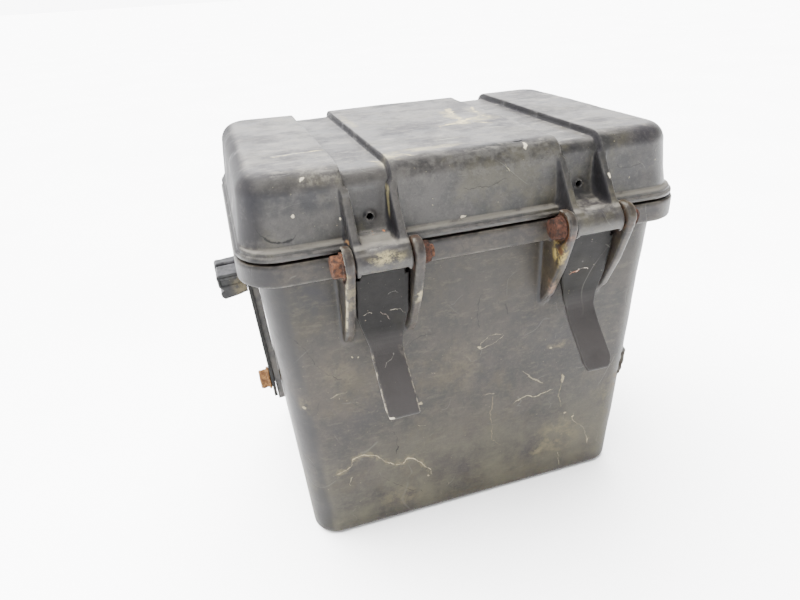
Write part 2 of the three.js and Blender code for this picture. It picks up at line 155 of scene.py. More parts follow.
def polygon(u, v, corners):
    outline = corners + corners[:1]
    inside = np.zeros(np.broadcast(u, v).shape, bool)
    for (u0, v0), (u1, v1) in zip(outline, outline[1:]):
        if v1 != v0:
            crosses = (v0 <= v) != (v1 <= v)
            inside ^= crosses & (u < u0 + (v - v0) * (u1 - u0) / (v1 - v0))
    return np.where(inside, -1, 1) * along_path(u, v, outline)


def hexagon(u, v, half_flat):
    reach = np.abs(u)
    for turn in (60, 120):
        a = np.radians(turn)
        reach = np.maximum(reach, np.abs(u * np.cos(a) + v * np.sin(a)))
    return reach - half_flat


def rounded_bend(before, corner, after, reach, steps=8):
    """Points on a curve that leaves a chain of three points this far from its middle one."""
    before, corner, after = (np.array(p, float) for p in (before, corner, after))
    start = corner + (before - corner) * reach / np.linalg.norm(before - corner)
    end = corner + (after - corner) * reach / np.linalg.norm(after - corner)
    shares = np.linspace(0, 1, steps + 1)
    return [tuple((1 - s) ** 2 * start + 2 * s * (1 - s) * corner + s ** 2 * end) for s in shares]


def axis_distance(y, z, pin):
    return np.hypot(y - pin[0], z - pin[1])


def ball(x, y, z, centre, radius):
    return np.sqrt((x - centre[0]) ** 2 + (y - centre[1]) ** 2 + (z - centre[2]) ** 2) - radius


def waves(x, y, z, seed, shortest, longest, height, count=9):
    """Soft lumps: a few sine waves in random directions, up to about this height."""
    rng = np.random.default_rng(seed)
    total = 0
    for _ in range(count):
        wave = rng.normal(size=3)
        wave *= 2 * np.pi / rng.uniform(shortest, longest) / np.linalg.norm(wave)
        total = total + np.sin(x * wave[0] + y * wave[1] + z * wave[2] + rng.uniform(0, 2 * np.pi))
    return total * height / np.sqrt(count)


def fade(value, start, end):
    """0 before start and 1 after end, with a smooth change between them."""
    share = np.clip((value - start) / (end - start), 0, 1)
    return share * share * (3 - 2 * share)


def graded(low, high, coarse, *spans):
    """Places from low to high, this far apart, or closer inside spans given as (start, end, spacing)."""
    places = [low]
    while places[-1] < high:
        here = places[-1]
        close = [step for start, end, step in spans if start - coarse <= here <= end]
        places.append(here + min([coarse] + close))
    return np.array(places, np.float32)


class Field:
    """Distances sampled on a grid, with shapes added and cut inside windows of it."""

    def __init__(self, xs, ys, zs):
        self.places = (xs, ys, zs)
        self.values = np.full((len(xs), len(ys), len(zs)), 50, np.float32)

    def combine(self, how, shape, rounding, low, high):
        low = (-1e9,) * 3 if low is None else low
        high = (1e9,) * 3 if high is None else high
        spans = tuple(slice(*np.searchsorted(p, (a, b))) for p, a, b in zip(self.places, low, high))
        x, y, z = (p[s] for p, s in zip(self.places, spans))
        distances = shape(x[:, None, None], y[None, :, None], z[None, None, :])
        self.values[spans] = how(self.values[spans], distances, rounding)

    def add(self, shape, fillet=0.0, low=None, high=None):
        self.combine(join, shape, fillet, low, high)

    def cut(self, shape, rounding=0.0, low=None, high=None):
        self.combine(cut, shape, rounding, low, high)

    def swell(self, shape, low=None, high=None):
        self.combine(lambda a, b, _: a + b, shape, 0, low, high)


def block_field(low, high, step, margin=2.0):
    spans = zip(low, high)
    return Field(*(np.arange(a - margin, b + margin + step, step, dtype=np.float32) for a, b in spans))


def surface_net(field):
    """Points and outward-facing quads on the zero surface of a field."""
    values = field.values
    inside = values < 0
    corners = np.zeros([n - 1 for n in values.shape], np.uint8)
    for offset in product((0, 1), repeat=3):
        corners += inside[tuple(slice(o, o + n) for o, n in zip(offset, corners.shape))]
    cells = np.array(np.nonzero((corners > 0) & (corners < 8)))
    number = np.full(corners.shape, -1, np.int32)
    number[tuple(cells)] = np.arange(cells.shape[1])

    total = np.zeros(cells.shape)
    hits = np.zeros(cells.shape[1])
    for axis in range(3):
        others = [(axis + 1) % 3, (axis + 2) % 3]
        for offset in product((0, 1), repeat=2):
            start = cells.copy()
            start[others[0]] += offset[0]
            start[others[1]] += offset[1]
            end = start.copy()
            end[axis] += 1
            a, b = values[tuple(start)], values[tuple(end)]
            crossing = (a < 0) != (b < 0)
            share = np.where(crossing, a / np.where(crossing, a - b, 1), 0)
            point = np.array([p[s] for p, s in zip(field.places, start)], np.float64)
            point[axis] += share * (field.places[axis][end[axis]] - field.places[axis][start[axis]])
            total += point * crossing
            hits += crossing
    points = (total / hits).T

    quads = []
    for axis in range(3):
        u, v = (axis + 1) % 3, (axis + 2) % 3
        first = np.moveaxis(inside, axis, 0)[:-1]
        last = np.moveaxis(inside, axis, 0)[1:]
        edges = np.array(np.nonzero(np.moveaxis(first != last, 0, axis)))
        leaving = inside[tuple(edges)]
        interior = (edges[u] > 0) & (edges[v] > 0)
        interior &= (edges[u] < values.shape[u] - 1) & (edges[v] < values.shape[v] - 1)
        edges, leaving = edges[:, interior], leaving[interior]
        ring = []
        for du, dv in ((-1, -1), (0, -1), (0, 0), (-1, 0)):
            cell = edges.copy()
            cell[u] += du
            cell[v] += dv
            ring.append(number[tuple(cell)])
        ring = np.array(ring).T
        quads.append(np.where(leaving[:, None], ring, ring[:, ::-1]))
    return points, np.concatenate(quads)


def add_piece(name, field, body, slot, material, *replaced, placing=None):
    """A smooth-shaded object on the surface of a field, riding on a body in place of CAD nodes."""
    points, quads = surface_net(field)
    if placing is not None:
        points = placing(points)
    mesh = bpy.data.meshes.new(name)
    mesh.vertices.add(len(points))
    mesh.vertices.foreach_set("co", (points * MM).astype(np.float32).ravel())
    mesh.loops.add(quads.size)
    mesh.loops.foreach_set("vertex_index", quads.astype(np.int32).ravel())
    mesh.polygons.add(len(quads))
    mesh.polygons.foreach_set("loop_start", np.arange(0, quads.size, 4, dtype=np.int32))
    mesh.polygons.foreach_set("loop_total", np.full(len(quads), 4, np.int32))
    mesh.update(calc_edges=True)
    mesh.validate()
    mesh.shade_smooth()
    mesh.materials.append(material)
    piece = bpy.data.objects.new(name, mesh)
    bpy.context.collection.objects.link(piece)
    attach(piece, body)
    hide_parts(*replaced)
    print("piece", name, len(quads))


# ---- Box ----

TORN_EDGE = np.array([129.0, -87.0, 97.0])  # on the right-hand front corner of the box


def box_wall(x, y, z, amount=0.0):
    """The leaning outer wall, or the same wall so much further in."""
    rise = np.clip(z / BAND_BOTTOM, 0, 1)
    half = [base + (rim - base) * rise - amount for base, rim in zip(BASE_HALF, RIM_HALF)]
    return rounded_rectangle(x, y, half, 18 + 2 * rise - amount)


def latch_ear(y, z):
    v, w = y - LATCH_PIN[0], z - LATCH_PIN[1]
    corners = [(22.5, -65.5), (10.5, -52.5), (-1.5, -28.5), (-11.1, -2)]
    corners += arc((-2.9, 2.5), 8.8, 210, 90)
    corners += [(3.5, 10.8), (7.1, 5), (9, 1.5), (22.5, 1.5)]
    return polygon(v, w, corners)


def hinge_ear(y, z):
    v, w = y - HINGE_PIN[0], z - HINGE_PIN[1]
    corners = [(-23.5, -68), (-12, -48)] + arc((0, 0), 9, -22, 180, 14) + [(-10.5, -5), (-23.5, -5)]
    return polygon(v, w, corners)


def add_ears(field, station_x, profile, pin):
    out = np.sign(pin[0])
    low_y, high_y = sorted((out * 88, out * 132))
    for side in (-1, 1):
        inner = station_x + side * EAR_INNER
        outer = inner + side * EAR_THICK

        def ear(x, y, z):
            plate = meet(profile(y, z), between(x, inner, outer), 1.4)
            recess = meet(axis_distance(y, z, pin) - EAR_RECESS, -side * (x - outer + side * 1.6))
            return cut(plate, recess, 0.7)

        edges = sorted((inner, outer))
        field.add(ear, 2.2, (edges[0] - 8, low_y, 155), (edges[1] + 8, high_y, 252))


def band(x, y, z):
    """The rim that turns out and down, hollow underneath."""
    outside = rounded_rectangle(x, y, BAND_HALF, 27)
    solid = meet(outside, between(z, BAND_BOTTOM, BAND_TOP), 1.4)
    return cut(solid, meet(outside + WALL, z - BAND_TOP + 3.5), 0.6)


def box_field():
    lugs = [(x - 27, x + 27, RIM_STEP) for x in STATION_X.values()]
    corners = [(-155, -126, RIM_STEP), (-126, -106, 1.8), (106, 126, 1.8), (126, 155, RIM_STEP)]
    xs = graded(-BAND_HALF[0] - 2, BAND_HALF[0] + 2, 2.8, *corners, *lugs)
    corners = [(-130, -86, RIM_STEP), (-86, -70, 1.9), (70, 88, 1.9), (88, 130, RIM_STEP)]
    ys = graded(-130, 130, 4.0, *corners)
    zs = graded(-2, 251, 3.6, (-2, 8, 1.3), (84, 120, 1.7), (162, 255, RIM_STEP))
    field = Field(xs, ys, zs)
    shell = lambda x, y, z: meet(meet(box_wall(x, y, z), -z, 6), z - BAND_TOP, 0.6)
    field.add(shell)

    def dents(x, y, z):
        lumps = waves(x, y, z, 4, 60, 160, 0.35) + waves(x, y, z, 9, 18, 45, 0.08)
        return lumps * fade(z, 6, 30) * fade(-z, 4 - BAND_BOTTOM, 20 - BAND_BOTTOM)

    field.swell(dents, None, (200, 200, BAND_BOTTOM - 2))
    field.add(band, 1.6, (-200, -200, BAND_BOTTOM - 12), (200, 200, 251))
    back = LATCH_PIN[0] + 11.1
    for station_x in STATION_X.values():
        notch = lambda x, y, z: meet(between(x, station_x - EAR_INNER, station_x + EAR_INNER), y - back)
        low, high = (station_x - 28, -130, 205), (station_x + 28, -95, 251)
        field.cut(notch, 0.8, low, high)

        def backing(x, y, z):
            across = between(x, station_x - EAR_INNER - 1, station_x + EAR_INNER + 1)
            return meet(meet(across, between(y, back, -RIM_HALF[1] + 2)), between(z, 224, 235.4))

        field.add(backing, 1.0, low, (station_x + 28, -90, 251))
        add_ears(field, station_x, latch_ear, LATCH_PIN)
        add_ears(field, station_x, hinge_ear, HINGE_PIN)
    field.cut(lambda x, y, z: meet(box_wall(x, y, z, WALL), FLOOR - z, 3.0), 0.6)
    for pin, low_y, high_y in ((LATCH_PIN, -130, -103), (HINGE_PIN, 103, 130)):
        hole = lambda x, y, z: axis_distance(y, z, pin) - BOLT_HOLE
        field.cut(hole, 0.4, (-200, low_y, 222), (200, high_y, 251))
    for side in SIDES:
        middle = node_middle(f"lead_grommet_{side}")
        hole = lambda x, y, z: np.hypot(x - middle[0], z - middle[2]) - LEAD_HOLE
        field.cut(hole, 0.5, (middle[0] - 14, 84, middle[2] - 14), (middle[0] + 14, 104, middle[2] + 14))

    low, high = TORN_EDGE - (16, 14, 20), TORN_EDGE + (12, 14, 20)

    def tear(x, y, z, shift, thick, ragged, half_length):
        middle = TORN_EDGE + shift
        lean = (z - middle[2]) * 0.05
        across = np.hypot(x - middle[0] - lean, y - middle[1] + lean) - thick
        ends = np.abs(z - middle[2]) - half_length
        return meet(across, ends, 2.0) + waves(x, y, z, 2, 4, 13, ragged, 12)

    field.add(lambda x, y, z: tear(x, y, z, (-0.5, 0.3, 0), 2.7, 0.8, 13), 0.8, low, high)
    field.cut(lambda x, y, z: tear(x, y, z, (-2.4, -3.2, -1), 1.5, 0.7, 11), 0.4, low, high)
    return field


# ---- Lid ----

def dome(x, y, z):
    rise = np.clip((z - FLANGE_TOP) / (LID_TOP - LID_EDGE - FLANGE_TOP), 0, 1)
    half = [h - LID_DRAFT * rise for h in LID_FOOT]
    return meet(rounded_rectangle(x, y, half, 23 - rise), z - LID_TOP, LID_EDGE)


def channelled_dome(x, y, z, amount=0.0):
    outer = dome(x, y, z)
    raised = outer + amount
    for station_x in STATION_X.values():
        half = CHANNEL_HALF + amount
        raised = cut(raised, between(x, station_x - half, station_x + half), 1.3)
    return join(raised, outer + CHANNEL_DEPTH + amount, 1.3)


def web(y, z, out, pin):
    """Side view of what carries a lobe or a knuckle. Out is -1 at the front and 1 at the back."""
    crest = pin[1] + 9
    reach = abs(pin[0])
    sweep = [(95, 9), (97, 7.2), (99.5, 4), (103, 1.8), (108, 0.5), (reach, 0.1)]
    corners = [(95, FLANGE_BOTTOM)] + [(v, crest + rise) for v, rise in sweep] + [(reach, FLANGE_BOTTOM)]
    return polygon(out * y, z, corners)


def rib(y, z, out, pin):
    reach = abs(pin[0])
    corners = [(95, FLANGE_BOTTOM), (95, 272), (97.6, 272)]
    corners += [(reach + 2, pin[1] + 8.6), (reach + 2, FLANGE_BOTTOM)]
    return polygon(out * y, z, corners)


def lobe(x, y, z, station_x, out, pin, radius):
    across = between(x, station_x - LOBE_HALF, station_x + LOBE_HALF)
    body = join(axis_distance(y, z, pin) - radius, web(y, z, out, pin), 2.0)
    for side in (-1, 1):
        edge = station_x + side * LOBE_HALF
        blade = meet(rib(y, z, out, pin), between(x, edge - side * RIB_THICK, edge), 1.2)
        body = join(body, blade, 4.5)
    return meet(body, across, 1.2)


def slot_below(x, y, z, station_x, half, radius, pin):
    shaft = meet(np.abs(y - pin[0]) - radius, z - pin[1])
    across = between(x, station_x - half, station_x + half)
    return meet(join(axis_distance(y, z, pin) - radius, shaft), across, 0.8)


def flange(x, y, z):
    outline = rounded_rectangle(x, y, FLANGE_HALF, 26)
    lower = meet(outline, between(z, FLANGE_BOTTOM, FLANGE_TOP - 2.4), 1.1)
    upper = meet(outline + 1.8, between(z, FLANGE_BOTTOM, FLANGE_TOP), 0.9)
    return join(lower, upper, 0.4)


def lid_field():
    lugs = [(x - 20, x + 20, FINE) for x in STATION_X.values()]
    xs = graded(-BAND_HALF[0] - 1, BAND_HALF[0] + 1, 2.2, (-155, -122, FINE), (122, 155, FINE), *lugs)
    ys = graded(-129, 130, 2.6, (-130, -80, FINE), (82, 130, FINE))
    zs = graded(lid_low[2] - 2, LID_TOP + 2, FINE)
    field = Field(xs, ys, zs)
    field.add(lambda x, y, z: meet(channelled_dome(x, y, z), FLANGE_BOTTOM + 1 - z))

    def sag(x, y, z):
        lumps = waves(x, y, z, 12, 60, 150, 0.3) + waves(x, y, z, 6, 16, 40, 0.1) + 0.25
        return lumps * fade(z, FLANGE_TOP + 2, FLANGE_TOP + 14)

    field.swell(sag, (-200, -200, FLANGE_TOP))
    field.add(flange, 1.2, (-200, -200, FLANGE_BOTTOM - 8), (200, 200, FLANGE_TOP + 8))
    ends = ((-1, LATCH_PIN, LOBE_RADIUS), (1, HINGE_PIN, KNUCKLE_RADIUS))
    for station_x, (out, pin, radius) in product(STATION_X.values(), ends):
        low_y, high_y = sorted((out * 82, out * 131))
        low, high = (station_x - 26, low_y, 222), (station_x + 26, high_y, 286)
        field.add(lambda x, y, z: lobe(x, y, z, station_x, out, pin, radius), 2.6, low, high)
    for station_x in STATION_X.values():
        low, high = (station_x - 24, -130, 220), (station_x + 24, -100, 250)
        field.cut(lambda x, y, z: slot_below(x, y, z, station_x, 14.4, 7.5, LATCH_PIN), 0.4, low, high)
        field.cut(lambda x, y, z: slot_below(x, y, z, station_x, 19, 6.2, LATCH_PIN), 0.4, low, high)
        bore = lambda x, y, z: axis_distance(y, z, HINGE_PIN) - SLEEVE_BORE
        field.cut(bore, 0.4, (station_x - 24, 105, 225), (station_x + 24, 131, 251))
        hole_z = LATCH_PIN[1] + 19.5
        low, high = (station_x - 7, -104, hole_z - 7), (station_x + 7, -88, hole_z + 7)
        field.add(lambda x, y, z: ball(x, y, z, (station_x, -94.6, hole_z), 3.4), 1.5, low, high)
        field.cut(lambda x, y, z: np.hypot(x - station_x, z - hole_z) - 2.0, 0.5, low, high)
    field.cut(lambda x, y, z: meet(channelled_dome(x, y, z, 3.0), FLANGE_TOP - z))
    mouth_half = [h - WALL for h in RIM_HALF]
    mouth = lambda x, y, z: meet(rounded_rectangle(x, y, mouth_half, 16.8), z - FLANGE_TOP - 0.6)
    field.cut(mouth, 0.5, (-200, -200, 200), (200, 200, FLANGE_TOP + 5))
    return field


# ---- Latch levers ----

def lever_field(station_x, lean, clipped):
    """Lean moves the tail sideways, and clipped is what has broken off its lower right corner."""
    low = np.array([station_x - 17.5, lever_low[1] - 1, lever_low[2] - 1])
    high = np.array([station_x + 17.5, lever_high[1] + 1, lever_high[2] + 1])
    field = block_field(low, high, DETAIL)
    pin_y, pin_z = LATCH_PIN
    bend_y, bend_z = pin_y + 8.9, pin_z - 60.5
    tip_y, tip_z = pin_y - 24.9, pin_z - 94
    bend = [(pin_y + 5.7, pin_z - 33.5)]
    bend += rounded_bend(bend[0], (bend_y, bend_z - 1), (tip_y, tip_z), 15)

    def strap(x, y, z):
        side_view = along_path(y, z, [(pin_y, pin_z - 3)] + bend + [(tip_y + 0.2, tip_z + 0.2)]) - 1.7
        across = x - station_x - lean * np.clip((pin_z - 30 - z) / 60, 0, 1)
        front_view = polygon(across, z, [
            (-14, pin_z + 1), (-14, pin_z - 11), (-16.3, pin_z - 11), (-16.3, pin_z - 39),
            (-10.6, bend_z - 1), (-10.4, tip_z + 3), (-8.6, tip_z - 3),
            (10.4 - clipped, tip_z - 3), (10.4, tip_z - 3 + clipped), (10.6, bend_z - 1),
            (16.3, pin_z - 39), (16.3, pin_z - 11), (14, pin_z - 11), (14, pin_z + 1),
        ])
        return meet(side_view, front_view, 0.9)

    field.add(strap)
    field.swell(lambda x, y, z: waves(x, y, z, int(station_x) + 200, 7, 30, 0.08))
    hub = lambda x, y, z: meet(axis_distance(y, z, LATCH_PIN) - 6.9, np.abs(x - station_x) - 14, 0.8)
    field.add(hub, 2.0)
    field.cut(lambda x, y, z: axis_distance(y, z, LATCH_PIN) - SLEEVE_BORE, 0.4)
    return field


# ---- Bolts and nuts ----

def thread(x, v, w, radius):
    turn = np.arctan2(w, v) / (2 * np.pi)
    ridge = np.abs((x / 1.25 - turn) % 1 - 0.5) * 2
    return np.hypot(v, w) - radius + 0.35 * ridge


def add_hex_head(field, face, side, middle, height, seed):
    """A rusty flanged hexagon, from its outer face towards the other side."""
    seat = face - side * height

    def head(x, y, z):
        v, w = y - middle[1], z - middle[2]
        out = side * (x - seat)
        round_face = np.hypot(v, w) - 8.0 + 1.2 * np.maximum(out - height + 1.6, 0)
        hexagonal = meet(meet(hexagon(v, w, 6.4), round_face, 0.2), between(out, 0, height), 0.6)
        washer = meet(np.hypot(v, w) - 7.9, between(out, 0, 1.6), 0.5)
        return join(hexagonal, washer, 0.6) + waves(x, y, z, seed, 2.2, 6.5, 0.13)

    field.add(head)
    return seat


def add_bolt(field, face, end, middle, seed):
    """A bolt along X, with its head at the face and its thread out to the end."""
    seat = add_hex_head(field, face, -1, middle, HEAD_HEIGHT, seed)

    def shank(x, y, z):
        return meet(thread(x, y - middle[1], z - middle[2], SHANK), between(x, seat - 0.5, end))

    field.add(shank, 0.3)


def bolt_field(name, seed):
    low, high = node_box(name)
    field = block_field(low, high, SMALL, 1.0)
    add_bolt(field, low[0], high[0], (low + high) / 2, seed)
    return field


def nut_field(name, seed):
    low, high = node_box(name)
    middle = (low + high) / 2
    field = block_field(low, high, SMALL, 1.0)
    add_hex_head(field, high[0], 1, middle, NUT_HEIGHT, seed)
    field.cut(lambda x, y, z: np.hypot(y - middle[1], z - middle[2]) - BOLT_HOLE, 0.3)
    return field


# ---- Relay block, terminal bar and side bolt, in a frame that leans with the left wall ----

LEAN = np.arctan2(RIM_HALF[0] - BASE_HALF[0], BAND_BOTTOM)


def onto_wall(points):
    """From the wall's frame, where X is straight out of the wall and Z runs up it, to the box's frame."""
    x, y, z = points.T
    return np.stack([
        -BASE_HALF[0] + x * np.cos(LEAN) - z * np.sin(LEAN), y, x * np.sin(LEAN) + z * np.cos(LEAN),
    ], 1)


def off_wall(point):
    x, y, z = point
    x = x + BASE_HALF[0]
    return np.array([x * np.cos(LEAN) + z * np.sin(LEAN), y, -x * np.sin(LEAN) + z * np.cos(LEAN)])


def relay_field():
    low, high = node_box("relay_block")
    outer = off_wall((low[0], 0, high[2]))[0]
    bottom = off_wall((low[0], 0, low[2]))[2]
    top = off_wall((low[0], 0, high[2]))[2]
    inner = outer + 17.4
    front, back = low[1], high[1]
    field = block_field((outer, front, bottom), (inner, back, top), DETAIL, 1.5)

    def body(x, y, z):
        outline = polygon(x, z, [
            (inner, bottom + 2.4), (inner, top), (outer + 1.2, top), (outer, top - 1.2),
            (outer + 0.3, bottom + 8.6), (outer + 2.6, bottom + 6.2), (outer + 0.5, bottom + 4.6),
            (outer + 0.7, bottom + 1.6), (outer + 2.4, bottom), (outer + 9, bottom + 0.9),
        ])
        return meet(outline, between(y, front, back), 0.9)

    field.add(body)
    groove = lambda x, y, z: np.hypot(y - front + 0.2, z - top + 1.2) - 0.7
    field.cut(groove, 0.3)
    step = lambda x, y, z: meet(meet(y - front - 0.8, between(z, bottom + 9.2, top - 3)), outer + 2 - x)
    field.cut(step, 0.5)
    field.swell(lambda x, y, z: waves(x, y, z, 31, 3, 9, 0.09))
    return field


def bar_field():
    low, high = node_box("terminal_bar")
    outer = off_wall((low[0], 0, high[2]))[0] + 0.2
    bottom = off_wall((low[0], 0, low[2]))[2] + 0.6
    top = off_wall((low[0], 0, high[2]))[2]
    field = block_field((outer, low[1], bottom), (outer + 18, high[1], top), DETAIL, 1.5)

    def body(x, y, z):
        across = np.hypot(
            np.maximum(between(y, low[1], high[1]) + 3, 0), np.maximum(between(z, bottom, top) + 3, 0),
        ) - 3
        return meet(across, between(x, outer, outer + 17.8), 2.2)

    field.add(body)
    field.swell(lambda x, y, z: waves(x, y, z, 33, 4, 12, 0.12))
    return field


def side_bolt_field():
    low, high = node_box("side_bolt")
    middle = off_wall((low + high) / 2)
    face = off_wall((low[0], middle[1], low[2] + 8))[0] + 0.3
    middle[2] = off_wall((low[0] + 3, 0, (low[2] + 16.2 / 2)))[2]
    end = face + (high[0] - low[0])
    field = block_field((face, middle[1] - 8, middle[2] - 8), (end, middle[1] + 8, middle[2] + 8), SMALL, 1.2)
    add_bolt(field, face, end, middle, 40)
    return field


# ---- Materials. All lengths in them are millimetres, and heights too ----

def add_node(tree, kind, inputs=None, output=0, **settings):
    """A shader node with its inputs linked or set. Returns one of its outputs."""
    node = tree.nodes.new("ShaderNode" + kind)
    for key, value in settings.items():
        setattr(node, key, value)
    for key, value in (inputs or {}).items():
        if isinstance(value, bpy.types.NodeSocket):
            tree.links.new(value, node.inputs[key])
        else:
            node.inputs[key].default_value = value
    return node.outputs[output]


class Surface:
    """A node material built up in coats: colour, roughness and height are painted over and over."""

    def __init__(self, name, color, roughness):
        self.material = bpy.data.materials.new(name)
        self.material.use_nodes = True
        self.tree = self.material.node_tree
        self.tree.nodes.clear()
        self.color, self.roughness, self.height = (*color, 1), roughness, 0.0
        coordinates = self.tree.nodes.new("ShaderNodeTexCoord").outputs["Object"]
        self.place = self.node("VectorMath", {0: coordinates, "Scale": 1 / MM}, operation="SCALE")
        geometry = self.tree.nodes.new("ShaderNodeNewGeometry")
        self.pointiness = geometry.outputs["Pointiness"]
        normal = self.node(
            "VectorTransform", {0: geometry.outputs["Normal"]},
            vector_type="NORMAL", convert_from="WORLD", convert_to="OBJECT",
        )
        self.facing = self.split(normal)
        wander = self.node("TexNoise", {"Vector": self.place, "Scale": 1 / 7, "Detail": 3.0}, output=1)
        shift = self.node("VectorMath", {0: wander, 1: (0.5, 0.5, 0.5)}, operation="SUBTRACT")
        shift = self.node("VectorMath", {0: shift, "Scale": 6.0}, operation="SCALE")
        self.wandering = self.node("VectorMath", {0: self.place, 1: shift}, operation="ADD")
        self.xyz = self.split(self.place)
        self.brokenness = self.span(self.noise(5, 3, 0.6, shift=2.7), 0.38, 0.6, 0.2, 1.0)

    def node(self, *kind_and_inputs, **settings):
        return add_node(self.tree, *kind_and_inputs, **settings)

    def split(self, vector):
        node = self.tree.nodes.new("ShaderNodeSeparateXYZ")
        self.tree.links.new(vector, node.inputs[0])
        return node.outputs

    def math(self, operation, a, b=0.0):
        return self.node("Math", {0: a, 1: b}, operation=operation)

    def times(self, first, *others):
        for other in others:
            first = self.math("MULTIPLY", first, other)
        return first

    def either(self, *masks):
        total = masks[0]
        for mask in masks[1:]:
            total = self.math("MAXIMUM", total, mask)
        return total

    def span(self, value, low, high, to_low=0.0, to_high=1.0):
        """Value from low to high becomes to_low to to_high, clamped and smooth."""
        inputs = {"Value": value, "From Min": low, "From Max": high, "To Min": to_low, "To Max": to_high}
        return self.node("MapRange", inputs, interpolation_type="SMOOTHSTEP")

    def window(self, axis, low, high, soft=1.5):
        above = self.span(self.xyz[axis], low - soft, low + soft)
        return self.times(above, self.span(self.xyz[axis], high + soft, high - soft))

    def region(self, **spans):
        """1 inside spans of x, y or z, each given as low, high and perhaps how soft its ends are."""
        return self.times(*(self.window("xyz".index(axis), *span) for axis, span in spans.items()))

    def noise(self, size, detail=4.0, roughness=0.55, shift=0.0, stretch=(1, 1, 1), distortion=0.0):
        inputs = {"Vector": self.place, "Location": (shift * 17, shift * 31, shift * 7), "Scale": stretch}
        place = self.node("Mapping", inputs)
        inputs = {"Vector": place, "Scale": 1 / size, "Detail": detail, "Roughness": roughness}
        return self.node("TexNoise", {**inputs, "Distortion": distortion})

    def blotches(self, low, high, *size_and_detail, **noise):
        """1 in the irregular patches where a noise is over high, and 0 where it is under low."""
        return self.span(self.noise(*size_and_detail, **noise), low, high)

    def spot(self, centre, radii, soft=0.5):
        """1 at the centre, fading to 0 at an irregular outline with these radii."""
        offset = self.node("VectorMath", {0: self.wandering, 1: centre}, operation="SUBTRACT")
        scaled = self.node("VectorMath", {0: offset, 1: tuple(1 / r for r in radii)}, operation="MULTIPLY")
        reach = self.node("VectorMath", {0: scaled}, output=1, operation="LENGTH")
        return self.span(reach, 1.0, 1.0 - soft)

    def stroke(self, points, width, run=0, rise=2):
        """A thin wandering line through places given by their coordinates along the two axes, in order."""
        if run > rise:
            points = [(u, v) for v, u in points]
        wandering = self.split(self.wandering)
        start, end = points[0][0], points[-1][0]
        low, high = min(p[1] for p in points) - 1, max(p[1] for p in points) + 1
        inputs = {"Value": wandering[run], "From Min": start, "From Max": end}
        share = self.node("MapRange", inputs, clamp=False)
        bend = self.tree.nodes.new("ShaderNodeFloatCurve")
        self.tree.links.new(share, bend.inputs["Value"])
        curve = bend.mapping.curves[0]
        places = [((u - start) / (end - start), (v - low) / (high - low)) for u, v in points]
        curve.points[0].location, curve.points[1].location = places[0], places[-1]
        for place in places[1:-1]:
            curve.points.new(*place)
        bend.mapping.update()
        level = self.math("ADD", self.times(bend.outputs[0], high - low), low)
        off = self.math("ABSOLUTE", self.math("SUBTRACT", wandering[rise], level))
        thick = self.times(self.brokenness, width)
        line = self.span(self.math("DIVIDE", off, thick), 1.0, 0.3)
        middle = self.math("ABSOLUTE", self.math("SUBTRACT", share, 0.5))
        return self.times(line, self.span(middle, 0.51, 0.44))

    def scratches(self, size, width, shift, share=0.58):
        """Thin curved lines, present only in patches."""
        field = self.noise(size, 1.0, 0.3, shift=shift, distortion=0.5)
        ridge = self.math("ABSOLUTE", self.math("SUBTRACT", field, 0.5))
        patches = self.noise(size * 0.9, 2.0, 0.5, shift=shift + 3.3)
        return self.times(self.span(ridge, width / size, 0.0), self.span(patches, share, share + 0.06))

    def paint(self, mask, coat, strength=1.0, height=None):
        """One more coat, where a mask, or each of a tuple of masks, is white.

        A coat is red, green and blue, and then a roughness if it changes that too.
        """
        if isinstance(mask, tuple):
            mask = self.times(*mask)
        share = self.times(mask, strength) if strength != 1.0 else mask
        inputs = {0: share, 6: self.color, 7: (*coat[:3], 1)}
        self.color = self.node("Mix", inputs, output=2, data_type="RGBA")
        for roughness in coat[3:]:
            self.roughness = self.node("Mix", {0: share, 2: self.roughness, 3: roughness}, data_type="FLOAT")
        if height is not None:
            self.raise_by(mask, height)

    def paint_spots(self, axes, spots, soft, area, coat, height=None):
        """Spots as their places along two axes, radii along these, and strength, inside the area's masks."""
        for u, v, radius_u, radius_v, strength in spots:
            centre, radii = [0.0] * 3, [ENDLESS] * 3
            for axis, place, radius in zip(axes, (u, v), (radius_u, radius_v)):
                centre[axis], radii[axis] = place, radius
            self.paint((self.spot(centre, radii, soft), *area), coat, strength, height)

    def paint_strokes(self, strokes, area):
        """Strokes as points along X and Z, width, axis to run along, colour and strength."""
        for points, width, run, color, strength in strokes:
            self.paint((self.stroke(points, width, run, 2 - run), area), (*color[:3], 0.8), strength)

    def raise_by(self, value, height):
        self.height = self.math("ADD", self.height, self.times(value, height))

    def finish(self, specular=0.2, metallic=0.0):
        output = self.tree.nodes.new("ShaderNodeOutputMaterial")
        bump = self.node("Bump", {"Height": self.height, "Distance": MM, "Strength": 1.0})
        shader = self.node("BsdfPrincipled", {
            "Base Color": self.color, "Roughness": self.roughness, "Metallic": metallic,
            "Specular IOR Level": specular, "Normal": bump,
        })
        self.tree.links.new(shader, output.inputs[0])
        return self.material


ENDLESS = 1e6  # a radius along which a spot never fades


def tone(value, warmth=0.0):
    return value * (1 + warmth), value, value * (1 - warmth)


MUD = (0.085, 0.071, 0.042, 0.85)
PALE_MUD = (0.18, 0.155, 0.098, 0.9)
DUST = (0.06, 0.057, 0.05, 0.7)
YELLOW = (0.16, 0.12, 0.038, 0.8)
RUST_STAIN = (0.1, 0.036, 0.013, 0.85)
SOOT = (0.0025, 0.0025, 0.003)
PURPLE = (0.0045, 0.0038, 0.0055)


